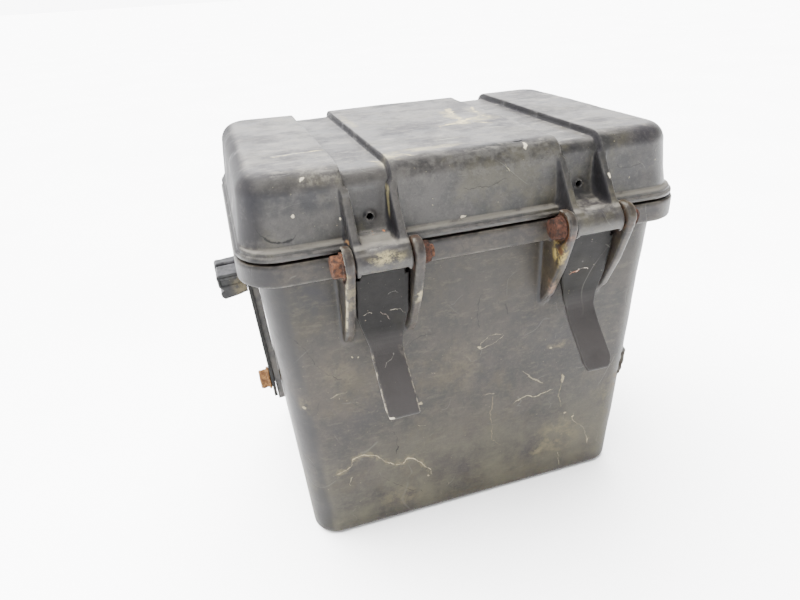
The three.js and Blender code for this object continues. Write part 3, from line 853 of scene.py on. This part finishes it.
def worn_plastic(name, dark, pale, shift, gloss):
    """Faded, scuffed polyethylene: patchy colour, wipe marks, curved scratches, specks of dirt."""
    s = Surface(name, dark, gloss)
    patches = s.noise(85, 5, 0.6, shift=shift)
    mottle = s.noise(13, 7, 0.75, shift=shift + 1)
    grain = s.noise(0.9, 3, 0.6)
    shade = s.math("ADD", s.times(patches, 0.55), s.times(mottle, 0.45))
    s.paint(s.span(shade, 0.41, 0.59), pale)
    olive = s.blotches(0.5, 0.64, 48, 6, 0.7, shift=shift + 6)
    s.paint(olive, (pale[0] * 1.35, pale[1] * 1.3, pale[2] * 0.85), 0.55)
    purple = s.blotches(0.52, 0.66, 60, 6, 0.7, shift=shift + 9)
    s.paint(purple, (dark[0] * 1.05, dark[1] * 0.95, dark[2] * 1.3), 0.6)
    wiped = s.either(
        s.blotches(0.54, 0.66, 7, 5, 0.75, shift=shift + 2, stretch=(0.3, 0.3, 1)),
        s.blotches(0.56, 0.68, 6, 5, 0.75, shift=shift + 3, stretch=(1, 1, 0.35)),
    )
    s.paint(wiped, (*pale, gloss + 0.12), 0.45)
    worn = s.blotches(0.5, 0.68, 2.4, 4, 0.7, shift=shift + 5)
    s.paint(worn, [1.8 * c for c in pale], 0.3)
    s.paint(s.span(grain, 0.45, 0.3), dark, 0.5)
    s.raise_by(grain, 0.07)
    s.raise_by(s.noise(30, 3, 0.5, shift=shift + 2), 0.5)
    s.raise_by(mottle, 0.16)
    marks = s.either(
        s.scratches(75, 0.35, shift), s.scratches(40, 0.3, shift + 5), s.scratches(22, 0.22, shift + 8, 0.62),
    )
    s.paint(marks, DUST, 0.4, -0.08)
    dark_marks = s.either(s.scratches(50, 0.7, shift + 11, 0.58), s.scratches(18, 0.4, shift + 13, 0.6))
    s.paint(dark_marks, SOOT, 0.45)
    specks = s.blotches(0.735, 0.77, 2.0, 2, 0.5, shift=shift + 4)
    s.paint(specks, PALE_MUD, 0.45)
    pits = s.blotches(0.27, 0.24, 3.0, 2, 0.5, shift=shift + 14)
    s.paint(pits, SOOT, 0.5)
    return s


def edge_wear_and_crease_shade(s, color, strength):
    worn = s.times(s.span(s.pointiness, 0.515, 0.57), s.blotches(0.35, 0.6, 5, 4, 0.6))
    s.paint(worn, (*color, 0.65), strength)
    # Painted shade: the concave creases are darkened, where shade falls.
    s.paint(s.span(s.pointiness, 0.485, 0.43), SOOT, 0.5)


def rust_around(s, reach, radius, strength):
    """Rust that has run out over the plastic around the latch bolts, this far from each station's middle."""
    spread = s.blotches(0.42, 0.62, 4, 5, 0.7)
    for side, station_x in product((-1, 1), STATION_X.values()):
        spot = s.spot((station_x + side * reach, *LATCH_PIN), (radius,) * 3, 0.7)
        s.paint((spot, spread), RUST_STAIN, strength)


def box_plastic():
    s = worn_plastic("box_plastic_worn", tone(0.0058, 0.16), tone(0.0155, 0.24), 3.1, 0.5)
    front = s.times(s.span(s.facing[1], -0.6, -0.9), s.region(y=(-99.5, -80)))
    low_dust = s.times(s.span(s.xyz[2], 120, 10), s.blotches(0.3, 0.7, 35, 5, 0.65, shift=6))
    s.paint(low_dust, (0.058, 0.053, 0.036, 0.75), 0.7)
    # Painted shade: the front wall is darkened towards the top, under the band.
    s.paint((front, s.span(s.xyz[2], 120, 215)), (0.0055, 0.005, 0.004), 0.5)
    streaky = s.blotches(0.5, 0.66, 4, 7, 0.8, shift=25, stretch=(0.35, 1, 1))
    s.paint((front, streaky), (0.06, 0.055, 0.036, 0.75), 0.26)
    edge_wear_and_crease_shade(s, (0.075, 0.07, 0.058), 0.8)

    # Painted shade: the front-left rounded corner is darkened in patches.
    corner = s.times(s.span(s.facing[0], -0.12, -0.45), s.span(s.facing[1], -0.2, -0.6))
    s.paint((corner, s.blotches(0.25, 0.5, 40, 5, 0.7, shift=19)), (0.003, 0.0028, 0.0034), 0.8)
    cloud = s.blotches(0.4, 0.65, 10, 6, 0.75, shift=2)
    s.paint_spots((0, 2), (
        (72, 42, 30, 26, 0.65), (-62, 22, 28, 14, 0.5), (118, 70, 14, 30, 0.5), (54, 32, 10, 5, 0.8),
        (-124, 126, 7, 12, 0.6), (-12, 130, 26, 30, 0.25), (66, 131, 12, 4, 0.7), (-100, 150, 18, 22, 0.25),
    ), 0.8, (cloud, front), MUD)
    s.paint_spots((0, 2), (
        (-124, 125, 1.65, 1.65, 0.8), (-42, 107, 1.8, 1.5, 0.8), (-88, 158, 0.9, 0.9, 0.8),
        (-84, 157, 0.8, 0.8, 0.8), (72, 99, 1.8, 5.2, 0.8), (2, 144, 1.95, 1.05, 0.8),
        (92, 108, 1.05, 1.5, 0.8), (78, 63, 1.65, 1.05, 0.8), (86, 58, 1.8, 1, 0.8),
        (60, 130, 1.65, 0.75, 0.8), (-38, 36, 1.35, 1.05, 0.8), (102, 27, 0.9, 3, 0.8),
    ), 0.5, (front,), PALE_MUD, 0.15)

    mud_line = [
        (-111, 61), (-101, 64), (-91, 73), (-79, 69), (-66, 57), (-60, 55), (-54, 59), (-45, 51), (-35, 36),
    ]
    cracked = s.blotches(0.36, 0.5, 3, 4, 0.7, shift=21)
    s.paint((s.stroke(mud_line, 2.2), front, cloud), (0.11, 0.09, 0.052, 0.9), 0.55)
    s.paint((s.stroke(mud_line, 0.7), front, cracked), (0.25, 0.215, 0.14, 0.9), 0.95, height=0.25)
    s.paint((s.stroke(mud_line, 8), cloud, front), MUD, 0.5)
    s.paint_strokes((
        ([(31, 85), (40, 89), (51, 88), (66, 91)], 0.6, 0, PALE_MUD, 0.9),
        ([(38, 115), (46, 106), (57, 99)], 0.9, 0, PALE_MUD, 0.5),
        ([(4, 97), (9, 101), (16, 99)], 0.42, 0, PALE_MUD, 0.5),
        ([(15, 99), (13, 80), (15, 57)], 0.48, 2, MUD, 0.8),
        ([(22, 48), (15, 57), (13, 63)], 0.36, 2, MUD, 0.5),
        ([(1, 144), (7, 150), (20, 152)], 0.42, 0, PALE_MUD, 0.5),
        ([(3, 143), (12, 145), (21, 151)], 0.6, 0, PALE_MUD, 0.55),
        ([(72, 101), (71, 87), (74, 70)], 0.66, 2, MUD, 0.8),
        ([(88, 63), (86, 58), (98, 40), (102, 22)], 0.54, 2, PALE_MUD, 0.55),
        ([(77, 8), (74, 24)], 0.54, 2, PALE_MUD, 0.45),
        ([(-100, 46), (-98, 54)], 0.42, 2, PALE_MUD, 0.7),
        ([(-46, 88), (-40, 86)], 0.3, 0, PALE_MUD, 0.7),
        ([(-106, 130), (-94, 132)], 0.42, 0, PALE_MUD, 0.4),
        ([(-128, 184), (-120, 174), (-113, 160), (-104, 147), (-93, 139)], 0.54, 0, SOOT, 0.75),
        ([(-66, 90), (-62, 78), (-64, 66)], 0.48, 2, SOOT, 0.9),
        ([(-50, 160), (-42, 163), (-30, 164)], 0.48, 0, SOOT, 0.6),
        ([(-75, 48), (-61, 32), (-43, 21)], 0.48, 0, SOOT, 0.5),
        ([(2, 159), (1, 168), (4, 190)], 0.96, 2, SOOT, 0.6),
        ([(23, 166), (21, 176)], 1.08, 2, SOOT, 0.6),
    ), front)

    torn = s.spot(tuple(TORN_EDGE + (1, -1, -1)), (5, 6, 17), 0.5)
    s.paint(torn, (0.018, 0.014, 0.009, 0.8), 0.85)
    near = s.times(s.spot(tuple(TORN_EDGE - (8, 4, 14)), (8, 8, 12), 0.7), cloud)
    s.paint(near, (0.075, 0.048, 0.026, 0.85), 0.7)

    rust_around(s, 23, 13, 0.8)
    left_ear = STATION_X["right"] - EAR_INNER - 3
    grime = s.blotches(0.4, 0.58, 5, 5, 0.7, shift=9)
    s.paint((s.spot((left_ear - 3, -118, 217), (5, 11, 13), 0.6), grime), YELLOW, 0.95)
    s.paint(s.spot((left_ear - 3, -119, 219), (4, 3.2, 4.5), 0.5), (0.03, 0.01, 0.004), 0.9)
    s.paint((s.spot((left_ear, -116, 232), (8, 12, 12), 0.5), grime), (*RUST_STAIN[:3], 0.9), 0.85)
    ear = STATION_X["left"] - EAR_INNER - EAR_THICK
    edge = s.times(s.region(x=(ear, ear + 1.1, 0.4), z=(186, 233)), s.span(s.facing[1], -0.05, -0.3))
    s.paint((edge, s.blotches(0.42, 0.52, 5, 4, 0.7, shift=5)), (*PALE_MUD[:3], 0.8), 0.9)
    ear_front = (s.region(x=(ear, ear + 6), z=(205, 232)), s.span(s.facing[1], -0.3, -0.7), grime)
    s.paint(ear_front, (*MUD[:3], 0.8), 0.6)
    right_ear = STATION_X["left"] + EAR_INNER + 4
    chip = s.spot((right_ear, LATCH_PIN[0] - 1, 206), (4, 6, 8))
    s.paint((chip, grime), (*PALE_MUD[:3], 0.85), 0.9)
    s.paint(s.spot((right_ear - 2, LATCH_PIN[0] - 1, 205), (1.6, 6, 4)), SOOT, 0.8)
    tip = s.spot((left_ear - 1, LATCH_PIN[0] + 8, 190), (4, 6, 12), 0.6)
    s.paint((tip, grime), (0.13, 0.08, 0.055, 0.8), 0.6)

    smudges = s.blotches(0.44, 0.6, 9, 6, 0.75, shift=17, stretch=(0.5, 1, 1))
    s.paint((s.region(z=(BAND_BOTTOM - 1, BAND_TOP + 1, 1)), smudges), (0.003, 0.0027, 0.0037), 0.6)
    # Painted shadow on the wall under the band, and painted shade in the gap between the band and the lid, at
    # the left.
    for centre, radii in (
        ((-110, -98, 205), (16, 20, 22)), ((-122, -108, 238), (20, 12, 9)), ((-84, -108, 240), (8, 9, 6)),
    ):
        s.paint((s.spot(centre, radii, 0.8), cloud), (0.004, 0.0034, 0.0058), 0.75)
    return s.finish()


def lid_plastic():
    s = worn_plastic("lid_plastic_worn", tone(0.0075, 0.03), tone(0.021, 0.08), 7.7, 0.46)
    top = s.span(s.facing[2], 0.75, 0.95)
    front = s.times(s.span(s.facing[1], -0.55, -0.85), s.region(y=(-103, -80)))
    haze = s.blotches(0.35, 0.7, 22, 6, 0.7, shift=1, stretch=(0.5, 1.6, 1))
    s.paint((top, haze), (0.085, 0.08, 0.074, 0.6), 0.55)
    s.paint((top, s.blotches(0.42, 0.64, 34, 6, 0.7, shift=22)), (0.008, 0.0072, 0.0095, 0.68), 0.6)
    dusty = s.blotches(0.5, 0.62, 6, 7, 0.8, shift=23, stretch=(0.4, 1, 1))
    s.paint((top, dusty), (0.14, 0.13, 0.112, 0.7), 0.42)
    brushed = s.blotches(0.52, 0.62, 3.5, 3, 0.6, shift=2, stretch=(0.08, 1, 1))
    s.paint((top, brushed, s.region(x=(-140, -84), y=(-90, -20, 15))), (0.1, 0.092, 0.078, 0.7), 0.5)
    edge_wear_and_crease_shade(s, (0.08, 0.078, 0.07), 0.6)

    # Cracked, pale patches on the top
    cloud = s.blotches(0.42, 0.62, 7, 6, 0.75, shift=3)
    broken = s.either(cloud, s.blotches(0.42, 0.6, 6, 5, 0.7, shift=8, stretch=(0.25, 1, 1)))
    s.paint_spots((0, 1), (
        (-50, -84, 12, 9, 0.9), (-32, -80, 20, 7, 0.7), (-12, -78, 16, 6, 0.5), (24, 8, 7, 30, 0.7),
        (20, -22, 9, 10, 0.8), (40, -12, 18, 11, 0.75), (46, 10, 6, 24, 0.4), (-50, 30, 5, 40, 0.45),
    ), 0.8, (broken, s.region(z=(278, 290, 2))), (0.19, 0.168, 0.105, 0.8))
    for points, width, run in (
        ([(19, -26), (23, -10), (33, 38)], 5, 1), ([(19, -25), (38, -8), (50, -10)], 4.5, 0),
        ([(-38, -90), (-54, -80), (-62, -74)], 3, 1), ([(44, -8), (46, 10), (52, 34)], 3, 1),
        ([(2, -30), (16, -20), (40, -32)], 2.5, 0), ([(-118, -52), (-100, -50), (-84, -49)], 1.2, 0),
    ):
        s.paint((s.stroke(points, width, run, 1 - run), top, broken), (0.25, 0.215, 0.125, 0.85), 0.9)
    for y, start, end in ((-62, -15, 0), (-4, 8, 18), (-50, -118, -96)):
        s.paint((s.region(x=(start, end), y=(y, y + 0.5, 0.6)), top), (0.25, 0.24, 0.2), 0.7)

    # Painted highlights on the flange beads and the front edge, painted shade, and dirt on the front
    for low, high, soft, highlight_patches, coat, strength in (
        (FLANGE_TOP - 0.4, FLANGE_TOP + 1.4, 0.5, s.blotches(0.3, 0.5, 8, 5, 0.7, shift=13),
         (0.07, 0.064, 0.053, 0.7), 0.75),
        (FLANGE_BOTTOM + 2.4, FLANGE_BOTTOM + 3.6, 0.4, s.blotches(0.4, 0.6, 6, 5, 0.7, shift=12),
         (0.055, 0.05, 0.044, 0.7), 0.5),
    ):
        # Painted highlight along each bead, broken up in patches.
        s.paint((s.region(z=(low, high, soft)), highlight_patches), coat, strength)
    for station_x in STATION_X.values():
        rib_face = station_x + LOBE_HALF - RIB_THICK
        inside = s.region(x=(rib_face - 2, rib_face + 1, 0.6), y=(-112, -92), z=(246, 272, 2))
        # Painted shade on the inner face of each station's rib, in the pocket beside the channel.
        s.paint((inside, s.span(s.facing[0], -0.4, -0.8)), SOOT, 0.75)
    left, right = STATION_X["left"], STATION_X["right"]
    s.paint((s.spot((right + 3, -112, 244), (24, 22, 22), 0.7), cloud), PURPLE, 0.8)
    s.paint((s.spot((right + 34, -100, 262), (24, 12, 16), 0.8), cloud), PURPLE, 0.5)
    highlight_streaks = s.blotches(0.4, 0.6, 12, 6, 0.75, shift=24, stretch=(0.3, 1, 1))
    # Painted highlight: a pale streaky line along the bottom of the rounded front edge.
    s.paint((s.region(x=(-104, -64, 2), y=(-104, -86), z=(268, 271, 1)), highlight_streaks), tone(0.05), 0.4)
    s.paint(s.spot((left + 2, -96, 262), (14, 6, 14), 0.8), PURPLE, 0.35)
    # Painted shade: the lid's left-facing side is darkened in patches.
    shaded_left_side = (s.span(s.facing[0], -0.15, -0.6), s.blotches(0.22, 0.5, 20, 5, 0.7, shift=15))
    s.paint(shaded_left_side, (0.004, 0.0037, 0.0045, 0.8), 0.9)
    brow = s.region(x=(-54, 56, 3), y=(-104, -86), z=(268, 283, 2))
    scuffs_and_highlight = s.blotches(0.45, 0.6, 6, 6, 0.75, shift=11)
    s.paint((brow, scuffs_and_highlight), (0.04, 0.038, 0.034, 0.7), 0.45)
    s.paint((brow, s.blotches(0.52, 0.62, 8, 5, 0.7, shift=14)), SOOT, 0.4)
    # Painted shade below the rounded front edge at the left, where it meets the wall.
    shade_below_roll = s.region(x=(-140, -90, 4), y=(-104, -86), z=(262, 275, 3))
    s.paint((shade_below_roll, s.blotches(0.36, 0.56, 13, 4, 0.6, shift=4)), (0.0025, 0.0025, 0.004), 0.85)
    # Painted highlight in patches along the rounded front edge at the left.
    s.paint((s.region(x=(-108, -84, 3), z=(276, 284, 1.5)), scuffs_and_highlight), (0.09, 0.083, 0.066), 0.4)

    s.paint_strokes((
        ([(-11, 262), (3, 261), (19, 265)], 0.54, 0, SOOT, 0.6),
        ([(-136, 257), (-131, 250), (-125, 248), (-113, 250)], 1.56, 0, SOOT, 0.9),
        ([(18, 274), (21, 268)], 0.48, 2, PALE_MUD, 0.6),
        ([(96, 263), (104, 260), (116, 261)], 0.72, 0, SOOT, 0.45),
    ), front)
    s.paint_spots((0, 2), (
        (-114, 261, 1.2, 1.2, 0.85), (-88, 255, 1, 1, 0.85), (-105, 280, 1.9, 0.8, 0.85),
        (-11, 246, 1.8, 1, 0.85), (33, 281, 1.6, 1.2, 0.85), (86, 259, 0.9, 1.6, 0.85),
    ), 0.4, (s.region(y=(-110, -82)),), (0.3, 0.27, 0.2, 0.9))
    off_crack = s.math("ABSOLUTE", s.math("ADD", s.split(s.wandering)[1], 88))
    crack = (s.region(x=(27, 33, 0.7)), s.span(off_crack, 1.0, 0.3), s.span(s.xyz[2], 272, 276))
    s.paint(crack, SOOT, 0.95, -0.5)

    rust_around(s, 18, 9, 0.5)
    for shift_x, size in ((0, 1.5), (6.5, 0.9)):
        s.paint(s.spot((left + shift_x, -104, 245.5), (size, 4, size)), (0.22, 0.075, 0.025, 0.8), 0.9)
    grime = s.blotches(0.42, 0.6, 2.6, 6, 0.8, shift=16, stretch=(0.6, 1, 1))
    s.paint((s.spot((left + 1, -124, 237.5), (14, 8, 5), 0.8), grime), (0.17, 0.145, 0.075, 0.85), 0.85)
    s.paint((s.spot((left, -122, 229), (20, 8, 7), 0.8), cloud), (*MUD[:3], 0.8), 0.45)
    seam = s.region(x=(left + 11.3, left + 12, 0.35), y=(-99.5, -93), z=(247, 270, 2))
    s.paint((seam, s.blotches(0.35, 0.5, 8, 3, 0.5)), (0.12, 0.105, 0.052, 0.8), 0.7)
    s.paint(s.spot((left - 15, -108, 243.5), (5, 4, 2.5), 0.6), (0.18, 0.095, 0.035, 0.8), 0.8)
    return s.finish(specular=0.26)


def lever_plastic():
    s = worn_plastic("lever_plastic_worn", tone(0.0012, 0.1), tone(0.003, 0.12), 5.2, 0.6)
    # The tail is painted lighter, as dust, which leaves the upper part darker as painted shade under the lid.
    tail = s.span(s.xyz[2], 186, 172)
    s.paint((tail, s.span(s.noise(30, 4, 0.6), 0.1, 0.5, 0.5, 1)), (0.024, 0.022, 0.0215), 0.8)
    chips = s.times(s.span(s.pointiness, 0.56, 0.62), s.blotches(0.5, 0.56, 9, 3, 0.6, shift=2), tail)
    s.paint(chips, (0.2, 0.175, 0.13, 0.8), 0.8)
    s.paint((s.span(s.pointiness, 0.52, 0.57), s.blotches(0.4, 0.6, 4, 4, 0.6)), DUST[:3], 0.4)
    left, right = STATION_X["left"], STATION_X["right"]
    for points, width, color in (
        ([(left - 13, 196), (left - 10, 197.5), (left - 7, 196.5)], 0.4, (0.2, 0.18, 0.14)),
        ([(left - 2, 197), (left + 2, 193.5), (left + 4, 190.5)], 0.4, (0.25, 0.2, 0.16)),
        ([(left + 4, 196.5), (left + 9, 196), (left + 14, 193.5)], 0.4, (0.2, 0.18, 0.14)),
        ([(left - 4, 162), (left, 165), (left + 4, 167)], 0.35, (0.16, 0.15, 0.13)),
        ([(left + 2, 209), (left + 6, 211), (left + 10, 209)], 0.35, (0.12, 0.12, 0.1)),
        ([(right - 11, 197), (right - 7, 198.5), (right - 4, 199)], 0.55, (0.3, 0.12, 0.06)),
        ([(right - 7, 198), (right - 2, 200), (right + 3, 198.5)], 0.35, (0.4, 0.36, 0.3)),
        ([(right + 2, 199), (right + 8, 195), (right + 12, 194)], 0.4, (0.003, 0.003, 0.003)),
    ):
        s.paint(s.stroke(points, width), (*color, 0.7), 0.5)
    pale = s.blotches(0.4, 0.6, 6, 4, 0.6, shift=7)
    # Painted highlight along both edges of the left lever's tail, broken up in patches.
    edges = s.either(s.region(x=(left - 11, left - 9.3, 0.5)), s.region(x=(left + 10.4, left + 12, 0.5)))
    broken = s.blotches(0.44, 0.56, 5, 4, 0.7, shift=6)
    s.paint((edges, s.span(s.xyz[2], 172, 166), broken), (0.17, 0.15, 0.115, 0.85), 0.8)
    s.paint(s.spot((left - 8, -142, 139.5), (2.6, 4, 1.2), 0.5), (0.3, 0.27, 0.21, 0.85), 0.9)
    s.paint((s.region(z=(136, 138.6, 0.4)), broken), (0.16, 0.145, 0.115, 0.85), 0.7)
    s.paint((s.spot((left + 10, -112, 170), (3, 8, 10), 0.7), pale), (0.09, 0.08, 0.065), 0.5)
    return s.finish(specular=0.12)


def relay_plastic():
    s = worn_plastic("relay_plastic_worn", tone(0.002, -0.03), tone(0.005, -0.02), 1.4, 0.55)
    edge_wear_and_crease_shade(s, (0.045, 0.045, 0.045), 0.6)
    # Painted light: the upward faces are painted lighter, in patches.
    upper = s.times(s.span(s.facing[2], 0.5, 0.9), s.blotches(0.3, 0.6, 12, 4, 0.6))
    s.paint(upper, (0.03, 0.029, 0.032), 0.6)
    tan = s.region(x=(-153, -138, 4), z=(196, 214, 3))
    s.paint((tan, s.blotches(0.42, 0.6, 5, 5, 0.7)), MUD, 0.7)
    return s.finish()


def rust(name, bright, dark, stain, shift):
    s = Surface(name, dark, 0.85)
    coarse = s.noise(2.6, 6, 0.7, shift=shift)
    fine = s.noise(0.5, 5, 0.7, shift=shift)
    s.paint(s.span(coarse, 0.38, 0.62), bright)
    s.paint(s.span(fine, 0.55, 0.75), stain, 0.7)
    s.paint(s.span(s.pointiness, 0.49, 0.42), (0.012, 0.007, 0.005), 0.7)
    s.paint(s.span(s.pointiness, 0.53, 0.6), stain, 0.6)
    s.raise_by(coarse, 0.35)
    s.raise_by(fine, 0.12)
    return s.finish(specular=0.1)


def dull(name, dark, pale, size, roughness, height, metallic=0.0):
    """Rubber, foam or dull steel: two tones of noise with a matching bump."""
    s = Surface(name, dark, roughness)
    s.paint(s.blotches(0.35, 0.65, size * 8, 5, 0.6), pale)
    fine = s.noise(size, 4, 0.6)
    s.paint(s.span(fine, 0.5, 0.8), pale, 0.5)
    s.paint(s.blotches(0.5, 0.7, size * 20, 5, 0.7, shift=3), (*DUST[:3], 0.9), 0.35)
    s.raise_by(fine, height)
    return s.finish(metallic=metallic)


def plate_steel():
    """Painted steel, dark, with warmer patches and spots of rust stain."""
    s = Surface("plate_steel", tone(0.003), 0.6)
    s.paint(s.blotches(0.4, 0.6, 9, 5, 0.6), tone(0.009, 0.1))
    s.paint(s.blotches(0.62, 0.7, 2, 5, 0.7, shift=2), RUST_STAIN, 0.5)
    s.raise_by(s.noise(1.2, 4, 0.6), 0.06)
    return s.finish(metallic=0.3)


# ---- Camera, light and floor ----

def make_camera():
    yaw, pitch, roll = np.radians((15.8, 27.6, -3.54))
    ahead = Vector((np.sin(yaw) * np.cos(pitch), np.cos(yaw) * np.cos(pitch), -np.sin(pitch)))
    right = Vector((np.cos(yaw), -np.sin(yaw), 0))
    up = right.cross(ahead)
    camera_x = right * np.cos(roll) + up * np.sin(roll)
    camera_y = up * np.cos(roll) - right * np.sin(roll)
    data = bpy.data.cameras.new("camera")
    data.lens = 27
    camera = bpy.data.objects.new("camera", data)
    bpy.context.collection.objects.link(camera)
    turn = Matrix((camera_x, camera_y, -ahead)).transposed()
    camera.matrix_world = Matrix.Translation((-0.1466, -0.4245, 0.3723)) @ turn.to_4x4()
    bpy.context.scene.camera = camera


def add_light(name, kind, power, place, target):
    light = bpy.data.objects.new(name, bpy.data.lights.new(name, kind))
    light.data.energy = power
    light.location = place
    light.rotation_euler = (Vector(target) - Vector(place)).to_track_quat("-Z", "Y").to_euler()
    bpy.context.collection.objects.link(light)
    return light


def make_studio():
    """A white sweep behind and to the left, and a darker room above and in front."""
    reach = 60.0
    mesh = bpy.data.meshes.new("floor")
    corners = [(-reach, -reach, 0), (reach, -reach, 0), (reach, reach, 0), (-reach, reach, 0)]
    mesh.from_pydata(corners, [], [(0, 1, 2, 3)])
    paper = Surface("pale_floor", tone(0.86), 0.85)
    paper.paint(paper.span(paper.noise(300, 3, 0.5), 0.3, 0.7), tone(0.9))
    mesh.materials.append(paper.finish(specular=0.1))
    floor = bpy.data.objects.new("floor", mesh)
    bpy.context.collection.objects.link(floor)

    world = bpy.data.worlds.new("studio")
    world.use_nodes = True
    tree = world.node_tree
    direction = tree.nodes.new("ShaderNodeTexCoord").outputs["Generated"]
    inputs = {0: direction, 1: (-0.3, 1.0, -0.75)}
    toward_sweep = add_node(tree, "VectorMath", inputs, "Value", operation="DOT_PRODUCT")
    inputs = {"Value": toward_sweep, "From Min": -0.15, "From Max": 0.35, "To Min": 1.0, "To Max": 7.0}
    brightness = add_node(tree, "MapRange", inputs, interpolation_type="SMOOTHSTEP")
    seen_directly = tree.nodes.new("ShaderNodeLightPath").outputs["Is Camera Ray"]
    backdrop = add_node(tree, "Math", {0: seen_directly, 1: 9.0}, operation="MULTIPLY")
    strength = add_node(tree, "Math", {0: brightness, 1: backdrop}, operation="MAXIMUM")
    background = tree.nodes["Background"]
    background.inputs["Color"].default_value = (0.98, 0.98, 1.0, 1)
    tree.links.new(strength, background.inputs["Strength"])
    bpy.context.scene.world = world

    overhead = add_light("overhead", "SUN", 34, (0, 0, 0), (0.25, -0.3, -1))
    overhead.data.angle = np.radians(80)
    overhead.visible_glossy = False
    add_light("beside_camera", "AREA", 7, (-0.5, -1.3, 0.95), (0, 0, 0.15)).data.size = 0.45


# ---- Making the pieces ----

make_camera()
make_studio()
BOX_PLASTIC, LID_PLASTIC = box_plastic(), lid_plastic()
LEVER_PLASTIC, RELAY_PLASTIC = lever_plastic(), relay_plastic()
DARK_RUST = rust("dark_rust", (0.034, 0.015, 0.01), (0.009, 0.006, 0.005), (0.05, 0.024, 0.015), 2.0)
RUST = rust("rusted_steel", (0.06, 0.026, 0.014), (0.016, 0.01, 0.008), (0.085, 0.045, 0.03), 0.0)
ORANGE = rust("orange_rust", (0.13, 0.068, 0.026), (0.05, 0.024, 0.012), (0.2, 0.13, 0.07), 4.0)
DARK_STEEL = dull("dull_dark_steel", tone(0.02, 0.1), tone(0.045, 0.15), 1.0, 0.5, 0.05, 0.6)
RUBBER = dull("grimy_rubber", tone(0.012), tone(0.025, 0.05), 0.8, 0.75, 0.06)
FOAM = dull("closed_cell_foam", tone(0.01), tone(0.022), 0.4, 0.95, 0.2)
PLATE_STEEL = plate_steel()
PAD_PLASTIC = dull("side_pad_plastic", tone(0.034), tone(0.06, 0.08), 1.2, 0.75, 0.06)

add_piece("box_moulding", box_field(), "box", "box_plastic", BOX_PLASTIC, "box_body")
add_piece("lid_moulding", lid_field(), "lid", "lid_plastic", LID_PLASTIC, "lid_shell")
for side, lean, clipped in (("left", 0.6, 1.6), ("right", -1.6, 7.0)):
    lever = lever_field(STATION_X[side], lean, clipped)
    add_piece(f"lever_{side}", lever, f"latch_{side}", "lever_plastic", LEVER_PLASTIC, f"latch_lever_{side}")
for seed, (kind, side) in enumerate(product(("latch", "hinge"), SIDES)):
    bolt, nut = f"{kind}_bolt_{side}", f"{kind}_nut_{side}"
    bolt_rust = RUST if side == "left" else DARK_RUST
    add_piece(f"{bolt}_rusted", bolt_field(bolt, seed), "box", "rusty_steel", bolt_rust, bolt)
    add_piece(f"{nut}_rusted", nut_field(nut, seed + 20), "box", "rusty_steel", DARK_RUST, nut)
wall_pieces = (("relay_block", relay_field(), "relay_plastic", RELAY_PLASTIC),
               ("terminal_bar", bar_field(), "relay_plastic", RELAY_PLASTIC),
               ("side_bolt", side_bolt_field(), "rusty_steel", ORANGE))
for node, field, slot, material in wall_pieces:
    add_piece(f"{node}_worn", field, "box", slot, material, node, placing=onto_wall)

carried = {
    "side_plate": PLATE_STEEL, "side_pad": PAD_PLASTIC, "side_nut": DARK_STEEL,
    "relay_bolt_front": DARK_STEEL, "relay_bolt_rear": DARK_STEEL,
    "lid_gasket": FOAM, "hold_down_pad": FOAM, "floor_mat": RUBBER,
    "lead_grommet_left": RUBBER, "lead_grommet_right": RUBBER,
}
carried.update({f"{kind}_sleeve_{side}": RUST for kind, side in product(("latch", "hinge"), SIDES)})
for node, material in carried.items():
    for material_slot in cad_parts[node].material_slots:
        material_slot.material = material
